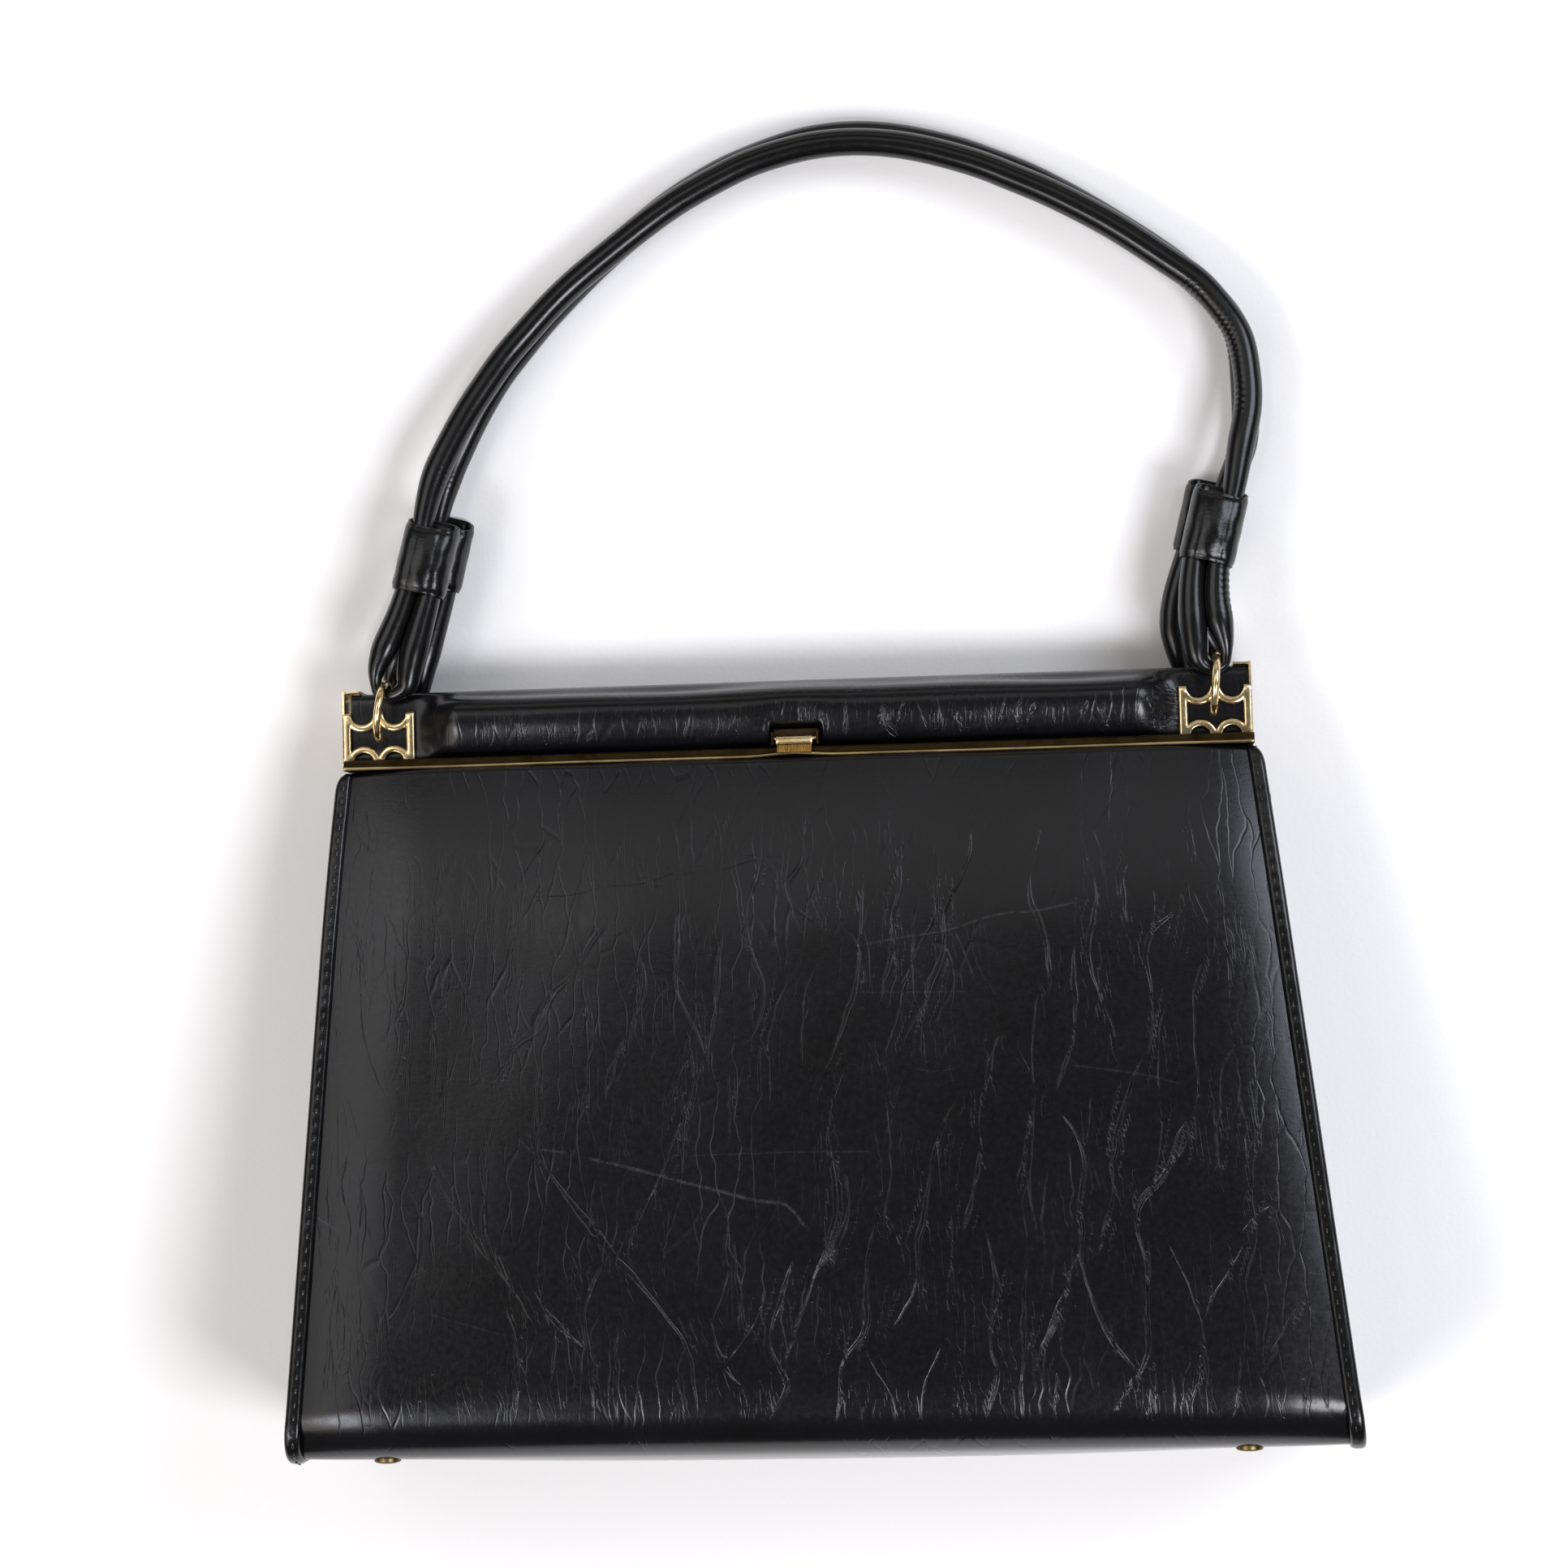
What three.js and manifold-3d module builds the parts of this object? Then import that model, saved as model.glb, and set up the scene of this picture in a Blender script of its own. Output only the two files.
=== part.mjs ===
// Leather frame handbag lying on its back panel: a trapezoid body, a two-rail metal frame with padded
// top rolls, four cut-out corner plaques with rings, two rolled handles and a thumb latch.
// Millimetres. +X runs across the bag, +Y from the base to the handles, +Z out of the front panel.
// The origin is the middle of the back panel, on the face that the bag rests on.
import * as THREE from 'three';
import { mergeVertices } from 'three/addons/utils/BufferGeometryUtils.js';
import Module from 'manifold-3d';

const wasm = await Module();
wasm.setup();

// Body
const BASE_WIDTH = 300; // over the side edges, at the base
const TOP_WIDTH = 265.5; // over the side edges, under the rails
const PANEL_HEIGHT = 195; // base to rails
const BASE_HALF_DEPTH = 42; // middle plane to the front at the base
const TOP_HALF_DEPTH = 17; // middle plane to the front under the rails
const LEAN = THREE.MathUtils.degToRad(6); // lean of each panel up to TURN_IN
const TURN_IN = 140; // height where a panel starts to turn in to its rail
const PANEL_TOP = 194.9; // top edge of the leather
const BASE_RADIUS = 13; // bend from panel to base
const LEATHER = 2; // wall of the wrap
const SEAM_DIP = 2.6; // how far the wrap dips to its side seam
const SEAM_DIP_WIDTH = 12; // over this width
const EDGE_WIDTH = 4.5; // turned and stitched side edge
const EDGE_THICK = 3.4;
const EDGE_INSET = 3; // middle of the side edge, below the panel's face
const EDGE_SHOULDER = 2.5; // rounding of the side edge at its top
const GUSSET_WALL = 1.6;
const GUSSET_INSET = 5; // rim of the gusset, below the panel's face
const GUSSET_FOLD = 9; // inward fold at half height
const SKEW = -3.6; // the soft body lies skewed: its top is this far to the side of its base
const GAP = 0.3; // clearance between neighbours

// Frame
const RAIL_HALF_LENGTH = 130.5;
const PAD_HALF_LENGTH = 129.6;
const PAD_FULL_TO = 101; // the roll is full up to here, and flat from PAD_FLAT_FROM
const PAD_FLAT_FROM = 108.5;
const PLAQUE = { x: 120.5, h: 205.8, width: 20.4, height: 14.2, depth: 8.8, thick: 1.2, band: 1.8 };
const RING = { d: 9.6, h: 212.7, radius: 8, wire: 1.1 };
const RING_HOLE = { x: 120.2, h: 205.4, radius: 3 };
const LATCH = { x: 0.3, notchWidth: 14.3, notchTop: 204.3, notchDepth: 9, tabWidth: 10.4, pivotD: 14.2, pivotH: 200.7 };
const FOOT = { left: -122.6, right: 118.4, d: 26.5 };
const RIVET = { d: 3, h: 180.2, radius: 2.7, height: 2.2 };

// Handles: a rolled tube whose end goes down through a keeper, round its ring and back into the keeper
const TUBE = 4; // radius of the free arch
const LOOP = { d: 11.8, h: 220, legOffset: 3.3, tailEnd: 0.72 }; // d and h of the ring's wire in it
const KEEPER = { halfWidth: 8, halfThick: 4.7, wall: 1.2 };
const SIDES = 8;

// Where the bag lies: the back panel's straight part is on z = 0, its middle height at y = 0.
const REST_HEIGHT = 98;

const LEATHER_LOOK = { color: 0x1c1b1d, roughness: 0.45, metalness: 0 };
const TRIM_LOOK = { color: 0x151416, roughness: 0.4, metalness: 0 };
const GOLD_LOOK = { color: 0xb48a45, roughness: 0.35, metalness: 1 };
const DARK_METAL_LOOK = { color: 0x2a2623, roughness: 0.4, metalness: 1 };

// Rolls, seen from the side: front face [d, h] and back face [d, h], from the rail up.
const PAD_MIDDLE = {
  front: [[12.4, 198.6], [14.4, 200.4], [15.1, 204], [14.9, 208], [13.4, 212], [10.6, 215.4], [7.9, 216.5], [6.4, 217.7]],
  back: [[0.6, 198.6], [0.6, 201], [0.6, 204], [0.6, 208], [0.6, 212], [0.8, 215.6], [1.6, 217.4], [3.4, 218.3]],
};
const PAD_END = {
  front: [[8.5, 198.6], [8.5, 200.4], [8.5, 204], [8.5, 208], [8.5, 212], [8.5, 215.4], [8.2, 217], [7.4, 217.9]],
  back: [[5, 198.6], [5, 201], [5, 204], [5, 208], [5, 212], [5, 215.6], [5.3, 217.2], [6.2, 217.9]],
};
const RAIL_SECTION = [[0.4, 195.2], [16.4, 195.2], [17.1, 195.5], [17.35, 196.1], [17, 196.9], [16.3, 197.7], [15.4, 198.3], [0.4, 198.3]];
const FOOT_PROFILE = [[0, 0], [4.8, 0], [4.8, 0.5], [4.2, 1.2], [3.1, 1.8], [1.6, 2.15], [0, 2.25]]; // [radius, height]

// Each looped end: where its ring is across the frame and how far it leans, in degrees; the middle of its
// two legs at their widest and half the distance between them; how wide it turns on the ring's inner side;
// the bottom and top of its keeper.
const ENDS = {
  front_left: { ring: -119.9, lean: 8, belly: [-117.9, 137, 29.3], spread: 4.4, wide: 1.25, bottom: [-112.2, 153, 27.4], top: [-107.2, 172.4, 25] },
  front_right: { ring: 120.1, lean: 5, belly: [114.6, 137, 29.3], spread: 3.8, wide: 1, bottom: [115.1, 153.9, 27.4], top: [120.2, 173.6, 25] },
  back_left: { ring: -119.9, lean: 6, belly: [-118.5, 135.5, 6.4], spread: 4.3, wide: 1.1, bottom: [-111.4, 155.1, 5.6], top: [-106.5, 173.6, 5.3] },
  back_right: { ring: 120.1, lean: -8, belly: [110.2, 135, 6.4], spread: 4.2, wide: 1.4, bottom: [114, 156.6, 5.6], top: [118.8, 175.5, 5.3] },
};

// Free arch of each handle from left to right [x, y, z].
const ARCHES = {
  front: [
    [-106.6, 187.1, 22.5], [-102.4, 195.9, 20.8], [-97.3, 205, 19], [-91.1, 214.1, 17.4],
    [-84, 223.2, 15.8], [-75.7, 232.1, 14.6], [-66.4, 241.1, 13.4], [-55.1, 249.9, 12.9],
    [-40.5, 260.3, 12.4], [-24.9, 269.2, 12.2], [-5.1, 276.7, 12], [14.8, 279.2, 12],
    [34.4, 277.1, 12], [53.7, 271.1, 12.1], [72.4, 262.7, 12.3], [91.2, 252.2, 12.6],
    [109.6, 239.1, 13.4], [115.5, 234.5, 13.9], [120.4, 229, 14.6], [126.7, 218.4, 16.2], [128.7, 207.6, 18.1],
    [128.5, 197.8, 20], [126.4, 187.8, 22],
  ],
  back: [
    [-106.5, 185.7, 4.6], [-102.1, 195.5, 4.1], [-97, 205.1, 4.1], [-90.6, 214.8, 4.1],
    [-83, 224.2, 4.1], [-74.3, 233.6, 4.1], [-64.8, 242.9, 4.1], [-54.2, 252.1, 4.1],
    [-43, 260.6, 4.1], [-31.7, 268.1, 4.1], [-12.7, 276.9, 4.1], [5.8, 281.7, 4.1],
    [23.9, 282, 4.1], [41.9, 278.2, 4.1], [60.2, 271.4, 4.1], [78.5, 262, 4.1],
    [94.5, 251.7, 4.1], [109.6, 240.7, 4.1], [120.3, 230.5, 4.1], [127.2, 219.3, 4.1],
    [129.4, 207.6, 4.1], [129, 197, 4.1], [126.4, 186.2, 4.6],
  ],
};

// A point of the upright bag: x across, d out of the front from the middle plane, h above the base.
const point = (x, d, h) => new THREE.Vector3(x, -d, h);
const clamp = THREE.MathUtils.clamp;
const lerp = THREE.MathUtils.lerp;

// How far the body's middle is moved sideways at height h.
const sideways = (h) => SKEW * clamp(h / PANEL_HEIGHT, 0, 1);

// Half the width over the side edges at height h.
const halfWidth = (h) => lerp(BASE_WIDTH, TOP_WIDTH, clamp(h / PANEL_HEIGHT, 0, 1)) / 2;

// Half the depth of the body at height h: a straight lean, then a turn towards the rail.
function panelDepth(h) {
  const straight = BASE_HALF_DEPTH - h * Math.tan(LEAN);
  const missing = BASE_HALF_DEPTH - PANEL_HEIGHT * Math.tan(LEAN) - TOP_HALF_DEPTH;
  const turn = clamp((h - TURN_IN) / (PANEL_HEIGHT - TURN_IN), 0, 1);
  return straight - missing * turn * turn;
}

// Centre of the bend from the front panel to the base.
const BEND_D = BASE_HALF_DEPTH - BASE_RADIUS * Math.tan(LEAN) - BASE_RADIUS / Math.cos(LEAN);

// Side profile of the body from the front top, under the base, to the back top, with outward normals.
function sideProfile(heights) {
  const front = heights.map((h) => new THREE.Vector2(panelDepth(h), h));
  for (let i = 0; i <= 5; i++) {
    const a = lerp(LEAN, -Math.PI / 2, i / 5);
    front.push(new THREE.Vector2(BEND_D + BASE_RADIUS * Math.cos(a), BASE_RADIUS + BASE_RADIUS * Math.sin(a)));
  }
  front.push(new THREE.Vector2(14, 0));
  const back = front.map((p) => new THREE.Vector2(-p.x, p.y)).reverse();
  const line = [...front, new THREE.Vector2(0, 0), ...back];
  return line.map((p, i) => {
    const t = line[Math.min(i + 1, line.length - 1)].clone().sub(line[Math.max(i - 1, 0)]).normalize();
    return { p, n: new THREE.Vector2(-t.y, t.x) };
  });
}

// A closed skin over loops of points: quads between neighbouring loops, and each end zipped shut
// between the first and the second half of its loop.
function skin(loops) {
  const n = loops[0].length;
  const index = [];
  const quad = (a, b, c, d) => index.push(a, b, c, a, c, d);
  for (let k = 0; k + 1 < loops.length; k++) {
    for (let i = 0; i < n; i++) {
      const j = (i + 1) % n;
      quad(k * n + i, k * n + j, (k + 1) * n + j, (k + 1) * n + i);
    }
  }
  const last = (loops.length - 1) * n;
  for (let i = 0; i + 1 < n / 2; i++) {
    quad(n - 1 - i, n - 2 - i, i + 1, i);
    quad(last + i, last + i + 1, last + n - 2 - i, last + n - 1 - i);
  }
  const geometry = new THREE.BufferGeometry().setFromPoints(loops.flat());
  geometry.setIndex(index);
  return facingOut(geometry);
}

// Turns the faces round where the signed volume is negative.
function facingOut(geometry) {
  const p = geometry.attributes.position;
  const index = geometry.index.array;
  const [a, b, c] = [new THREE.Vector3(), new THREE.Vector3(), new THREE.Vector3()];
  let volume = 0;
  for (let i = 0; i < index.length; i += 3) {
    a.fromBufferAttribute(p, index[i]);
    b.fromBufferAttribute(p, index[i + 1]);
    c.fromBufferAttribute(p, index[i + 2]);
    volume += a.dot(b.cross(c));
  }
  if (volume < 0) for (let i = 0; i < index.length; i += 3) [index[i + 1], index[i + 2]] = [index[i + 2], index[i + 1]];
  geometry.computeVertexNormals();
  return geometry;
}

// Boolean cuts and joins on closed geometries.
function solidOf(geometry) {
  const plain = geometry.clone();
  for (const name of Object.keys(plain.attributes)) if (name !== 'position') plain.deleteAttribute(name);
  const merged = mergeVertices(plain, 1e-4);
  const vertProperties = merged.attributes.position.array;
  return new wasm.Manifold(new wasm.Mesh({ numProp: 3, vertProperties, triVerts: new Uint32Array(merged.index.array) }));
}

function geometryOf(solid) {
  const mesh = solid.getMesh();
  const geometry = new THREE.BufferGeometry();
  geometry.setAttribute('position', new THREE.BufferAttribute(new Float32Array(mesh.vertProperties), 3));
  geometry.setIndex(Array.from(mesh.triVerts));
  geometry.computeVertexNormals();
  return geometry;
}

const cut = (geometry, ...tools) => geometryOf(tools.reduce((s, t) => s.subtract(solidOf(t)), solidOf(geometry)));
const join = (geometry, ...more) => geometryOf(more.reduce((s, t) => s.add(solidOf(t)), solidOf(geometry)));

// A box from its two corners in upright-bag terms.
function box([x0, x1], [d0, d1], [h0, h1]) {
  const geometry = new THREE.BoxGeometry(x1 - x0, d1 - d0, h1 - h0);
  return geometry.translate((x0 + x1) / 2, -(d0 + d1) / 2, (h0 + h1) / 2);
}

// A prism of a [d, h] outline, along x.
function prism(outline, x0, x1) {
  const shape = new THREE.Shape(outline.map(([d, h]) => new THREE.Vector2(d, h)));
  const geometry = new THREE.ExtrudeGeometry(shape, { depth: x1 - x0, bevelEnabled: false });
  const turn = new THREE.Matrix4().makeBasis(new THREE.Vector3(0, -1, 0), new THREE.Vector3(0, 0, 1), new THREE.Vector3(-1, 0, 0));
  return geometry.applyMatrix4(turn).translate(x1, 0, 0);
}

const group = new THREE.Group();
const bag = new THREE.Group(); // the upright bag, laid on its back
bag.rotation.x = -(Math.PI / 2 + LEAN);
bag.position.set(0, BASE_HALF_DEPTH * Math.sin(LEAN) - REST_HEIGHT, BASE_HALF_DEPTH * Math.cos(LEAN));
group.add(bag);
const frame = new THREE.Group(); // rails, rolls, latch, plaques and rings, moved sideways as one
frame.position.x = SKEW;
bag.add(frame);
group.updateMatrixWorld(true);

function add(parent, name, geometry, look) {
  const mesh = new THREE.Mesh(geometry, new THREE.MeshStandardMaterial(look));
  mesh.name = name;
  parent.add(mesh);
  return mesh;
}

// The four corners of the frame: a group that mirrors the front right corner.
function corner(side, face) {
  const mirrored = new THREE.Group();
  mirrored.scale.set(side === 'left' ? -1 : 1, face === 'back' ? -1 : 1, 1);
  frame.add(mirrored);
  return mirrored;
}
const CORNERS = ['front', 'back'].flatMap((face) => ['left', 'right'].map((side) => ({ face, side })));

// Wrap: one sheet over front panel, base and back panel, dipping to its side seams.
{
  const profile = sideProfile([PANEL_TOP, 186, 176, 165, 153, TURN_IN, 105, 70, 40]);
  const across = [-1, -0.985, -0.965, -0.94, -0.91, -0.6, -0.2, 0.2, 0.6, 0.91, 0.94, 0.965, 0.985, 1];
  const loops = across.map((t) => {
    const fromSeam = (1 - Math.abs(t)) * (BASE_WIDTH / 2 - EDGE_WIDTH);
    const dip = SEAM_DIP * Math.max(0, 1 - fromSeam / SEAM_DIP_WIDTH) ** 2;
    const at = (inset) => profile.map(({ p, n }) => {
      const q = p.clone().addScaledVector(n, -inset);
      return point(sideways(p.y) + t * (halfWidth(p.y) - EDGE_WIDTH - GAP), q.x, q.y);
    });
    return [...at(dip), ...at(dip + LEATHER).reverse()];
  });
  add(bag, 'body_wrap', skin(loops), LEATHER_LOOK);
}

// Side edges: a rounded welt that follows the profile from the front top to the back top.
for (const [side, sign] of [['left', -1], ['right', 1]]) {
  const profile = sideProfile([PANEL_TOP, 193.9, 192.3, 189.9, 176, 158, TURN_IN, 90, 40]);
  const loops = profile.map(({ p, n }) => {
    const rise = clamp((p.y - (PANEL_TOP - 5)) / 5, 0, 1);
    const outer = halfWidth(p.y) - EDGE_SHOULDER * (1 - Math.sqrt(1 - rise * rise));
    const inner = halfWidth(p.y) - EDGE_WIDTH;
    return Array.from({ length: SIDES }, (_, i) => {
      const a = ((i + 0.5) / SIDES) * 2 * Math.PI;
      const round = (v) => Math.sign(v) * Math.abs(v) ** 0.7;
      const q = p.clone().addScaledVector(n, -EDGE_INSET + (EDGE_THICK / 2) * round(Math.sin(a)));
      return point(sideways(p.y) + sign * lerp(inner, outer, 0.5 + 0.5 * round(Math.cos(a))), q.x, q.y);
    });
  });
  add(bag, `edge_${side}`, skin(loops), TRIM_LOOK);
}

// Gussets: a thin sheet between the side edges, folded inwards at half height.
for (const [side, sign] of [['left', -1], ['right', 1]]) {
  const rim = (h) => {
    if (h > BASE_RADIUS) return panelDepth(h) - GUSSET_INSET / Math.cos(LEAN);
    const r = BASE_RADIUS - GUSSET_INSET;
    return BEND_D + Math.sqrt(r * r - (BASE_RADIUS - h) ** 2);
  };
  const loops = [5.3, 6.6, 9, 13, 30, 55, 80, 105, 130, 150, 168, 182, PANEL_TOP - GAP].map((h) => {
    const fold = GUSSET_FOLD * Math.sin(Math.PI * clamp((h - 10) / 156, 0, 1)) ** 1.3;
    const face = (wall) => [-1, -0.8, -0.55, -0.3, 0, 0.3, 0.55, 0.8, 1].map((f) => {
      const x = halfWidth(h) - 1.6 - fold * Math.cos((f * Math.PI) / 2) ** 2 - wall;
      return point(sideways(h) + sign * x, f * rim(h), h);
    });
    return [...face(0), ...face(GUSSET_WALL).reverse()];
  });
  add(bag, `gusset_${side}`, skin(loops), LEATHER_LOOK);
}

// Rails, rolls and latch
for (const face of ['front', 'back']) {
  const half = corner('right', face);
  add(half, `rail_${face}`, prism(RAIL_SECTION, -RAIL_HALF_LENGTH, RAIL_HALF_LENGTH), GOLD_LOOK);

  const steps = [0, 0.25, 0.5, 0.75, 1].map((t) => lerp(PAD_FLAT_FROM, PAD_FULL_TO, t));
  const right = [PAD_HALF_LENGTH, ...steps, 60, 20];
  const loops = [...right, ...right.map((x) => -x).reverse()].map((x) => {
    const full = THREE.MathUtils.smoothstep(PAD_FLAT_FROM - Math.abs(x), 0, PAD_FLAT_FROM - PAD_FULL_TO);
    const line = (name) => PAD_MIDDLE[name].map(([d, h], i) => point(x, lerp(PAD_END[name][i][0], d, full), lerp(PAD_END[name][i][1], h, full)));
    return [...line('front'), ...line('back').reverse()];
  });
  const holes = [-1, 1].map((sign) => new THREE.CylinderGeometry(RING_HOLE.radius, RING_HOLE.radius, 20, 14).translate(sign * RING_HOLE.x, -7, RING_HOLE.h));
  const notch = box([LATCH.x - LATCH.notchWidth / 2, LATCH.x + LATCH.notchWidth / 2], [LATCH.notchDepth, 20], [198, LATCH.notchTop]);
  add(half, `pad_${face}`, cut(skin(loops), ...holes, ...(face === 'front' ? [notch] : [])), LEATHER_LOOK);
}

{
  const out = LATCH.notchWidth / 2 - GAP;
  const back = LATCH.notchDepth + GAP;
  const housing = join(
    box([-out, out], [back, back + 0.8], [198.9, 203.9]),
    box([-out, -out + 0.8], [back, 15.6], [198.9, 202.6]),
    box([out - 0.8, out], [back, 15.6], [198.9, 202.6]),
  );
  const bore = new THREE.CylinderGeometry(0.9, 0.9, 20, 12).rotateZ(Math.PI / 2).translate(0, -LATCH.pivotD, LATCH.pivotH);
  add(frame, 'latch_housing', cut(housing, bore), DARK_METAL_LOOK).position.x = LATCH.x;

  // Tab: an arm from the pivot with a rolled lip in front and a thumb plate hanging over the rail.
  const tab = [
    [13.2, 200.2], [14.2, 199.7], [15.6, 200], [17, 200], [17.75, 199.3], [17.75, 196.5], [18.55, 196.5],
    [18.65, 199.2], [19.4, 200], [19.4, 201], [18.7, 201.7], [17.4, 201.6], [15.2, 201.4], [14.2, 201.7], [13.2, 201.2],
  ];
  const w = LATCH.tabWidth / 2;
  const pin = new THREE.CylinderGeometry(0.55, 0.55, 2 * (out - 0.1), 10).rotateZ(Math.PI / 2).translate(0, -LATCH.pivotD, LATCH.pivotH);
  add(frame, 'latch_tab', join(prism(tab, -w, w), pin), GOLD_LOOK).position.x = LATCH.x;
}

// Corner plaques: a plate with two bites in its top and two in its bottom edge, open in the middle
// along the same curves, with an end wall and a short top tab round the roll's end.
for (const { face, side } of CORNERS) {
  const { width, height, thick, band, depth } = PLAQUE;
  const upper = { x: 4.7, r: 3.4 };
  const lower = { x: 4.4, r: 2.85 };
  const [w, h] = [width / 2, height / 2];
  const post = w - 2.2;
  const arc = (x, y, r, from, to) => Array.from({ length: 8 }, (_, i) => {
    const a = lerp(from, to, i / 7);
    return new THREE.Vector2(x + r * Math.cos(a), y + r * Math.sin(a));
  });
  const outline = [
    new THREE.Vector2(-w, -h),
    ...arc(-lower.x, -h, lower.r, Math.PI, 0),
    ...arc(lower.x, -h, lower.r, Math.PI, 0),
    new THREE.Vector2(w, -h),
    new THREE.Vector2(w, h),
    ...arc(upper.x, h, upper.r, 0, -Math.PI),
    ...arc(-upper.x, h, upper.r, 0, -Math.PI),
    new THREE.Vector2(-w, h),
  ];
  const low = lower.r + band;
  const up = upper.r + band;
  const reach = (r, dx) => Math.acos(dx / r);
  const open = [
    ...arc(-lower.x, -h, low, reach(low, lower.x - post), reach(low, lower.x)),
    ...arc(lower.x, -h, low, reach(low, -lower.x), reach(low, post - lower.x)).slice(1),
    ...arc(upper.x, h, up, -reach(up, post - upper.x), -reach(up, -upper.x)),
    ...arc(-upper.x, h, up, -reach(up, upper.x), -reach(up, upper.x - post)).slice(1),
  ];
  const plate = new THREE.Shape(outline);
  plate.holes.push(new THREE.Path(open));
  const flat = new THREE.ExtrudeGeometry(plate, { depth: thick, bevelEnabled: false });
  flat.rotateX(Math.PI / 2).translate(PLAQUE.x, -depth, PLAQUE.h);
  const end = PLAQUE.x + w;
  const wall = box([end - 0.8, end], [0.5, depth + thick], [PLAQUE.h - h, 219]);
  const tab = box([end - 5, end], [0.5, 8.6], [218.3, 219]);
  add(corner(side, face), `plaque_${face}_${side}`, join(flat, wall, tab), GOLD_LOOK);
}

// Rings, feet and hinge rivets
for (const { face, side } of CORNERS) {
  const out = face === 'front' ? 1 : -1;
  const { ring: x, lean } = ENDS[`${face}_${side}`];
  const ring = add(frame, `ring_${face}_${side}`, new THREE.TorusGeometry(RING.radius, RING.wire, 6, 14), GOLD_LOOK);
  ring.position.copy(point(x, out * RING.d, RING.h));
  ring.rotation.y = Math.PI / 2 + THREE.MathUtils.degToRad(lean);
  const dome = new THREE.LatheGeometry(FOOT_PROFILE.map(([r, y]) => new THREE.Vector2(r, y)), 14);
  const foot = add(bag, `foot_${face}_${side}`, dome, GOLD_LOOK);
  foot.position.copy(point(FOOT[side], out * FOOT.d, -GAP));
  foot.rotation.x = -Math.PI / 2;
}
for (const [side, sign] of [['left', -1], ['right', 1]]) {
  const { radius, height, d, h } = RIVET;
  const dome = [[0, 0], [radius, 0], [radius, 0.5], [0.75 * radius, 0.75 * height], [0.4 * radius, 0.95 * height], [0, height]];
  const rivet = add(bag, `rivet_${side}`, new THREE.LatheGeometry(dome.map(([r, y]) => new THREE.Vector2(r, y)), 12), DARK_METAL_LOOK);
  rivet.position.copy(point(sideways(h) + sign * (halfWidth(h) - 1.6 + GAP), d, h));
  rivet.rotation.z = (-sign * Math.PI) / 2;
}

// Handles and keepers lie in the resting frame.
function keeperFrame(name) {
  const { bottom, top } = ENDS[name];
  const [b, t] = [new THREE.Vector3(...bottom), new THREE.Vector3(...top)];
  const along = t.clone().sub(b).normalize();
  const wide = new THREE.Vector3(along.y, -along.x, 0).normalize();
  return { b, t, along, wide };
}

// One looped end, from its tail in the keeper, round the ring where it thins, to where the handle leaves
// the keeper. The tail is on the inner side of the bag. Each row is a point and a radius.
function loopedEnd(face, side) {
  const end = ENDS[`${face}_${side}`];
  const keeper = keeperFrame(`${face}_${side}`);
  const inward = side === 'left' ? 1 : -1;
  const x = SKEW + end.ring + RING.radius * Math.sin(THREE.MathUtils.degToRad(end.lean));
  const eye = bag.localToWorld(point(x, (face === 'front' ? 1 : -1) * LOOP.d, LOOP.h));
  const up = new THREE.Vector3(0, Math.cos(LEAN), -Math.sin(LEAN));
  const at = (across, rise) => eye.clone().add(new THREE.Vector3(inward * across, 0, 0)).addScaledVector(up, rise);
  const belly = (s) => new THREE.Vector3(...end.belly).add(new THREE.Vector3(s * end.spread, 0, 0));
  const leg = (s, f) => keeper.b.clone().lerp(keeper.t, f).addScaledVector(keeper.wide, s * LOOP.legOffset);
  return [
    [leg(inward, LOOP.tailEnd), 2.7],
    [leg(inward, 0), 2.9],
    [belly(inward), 3.5],
    [at(5.6 * end.wide, 2.5), 3],
    [at(4.9 * end.wide, -0.5), 2.5],
    [at(2.6 * end.wide, -2.6), 2],
    [at(0, -3), 1.6],
    [at(-2, -1.9), 1.4],
    [at(-2.7, 0.6), 1.4],
    [at(-2.6, 3.2), 2],
    [belly(-inward), 3.5],
    [leg(-inward, 0), 3.1],
    [leg(-inward, 1), 3.1],
  ];
}

// A round tube through rows of a point and a radius, with its section carried along without twist.
function tube(rows) {
  const curve = new THREE.CatmullRomCurve3(rows.map(([p]) => p));
  const count = (rows.length - 1) * 2;
  let side = new THREE.Vector3(0, 0, 1);
  const loops = Array.from({ length: count + 1 }, (_, k) => {
    const t = k / count;
    const along = curve.getTangent(t);
    side = side.clone().addScaledVector(along, -side.dot(along)).normalize();
    const other = along.clone().cross(side);
    const row = Math.min(Math.floor(k / 2), rows.length - 2);
    const radius = lerp(rows[row][1], rows[row + 1][1], k / 2 - row);
    return Array.from({ length: SIDES }, (_, i) => {
      const a = ((i + 0.5) / SIDES) * 2 * Math.PI;
      return curve.getPoint(t).addScaledVector(side, radius * Math.cos(a)).addScaledVector(other, radius * Math.sin(a));
    });
  });
  return skin(loops);
}

for (const face of ['front', 'back']) {
  const arch = ARCHES[face].map((p) => [new THREE.Vector3(...p), TUBE]);
  const rows = [...loopedEnd(face, 'left'), ...arch, ...loopedEnd(face, 'right').reverse()];
  add(group, `handle_${face}`, tube(rows), TRIM_LOOK);
}

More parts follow.
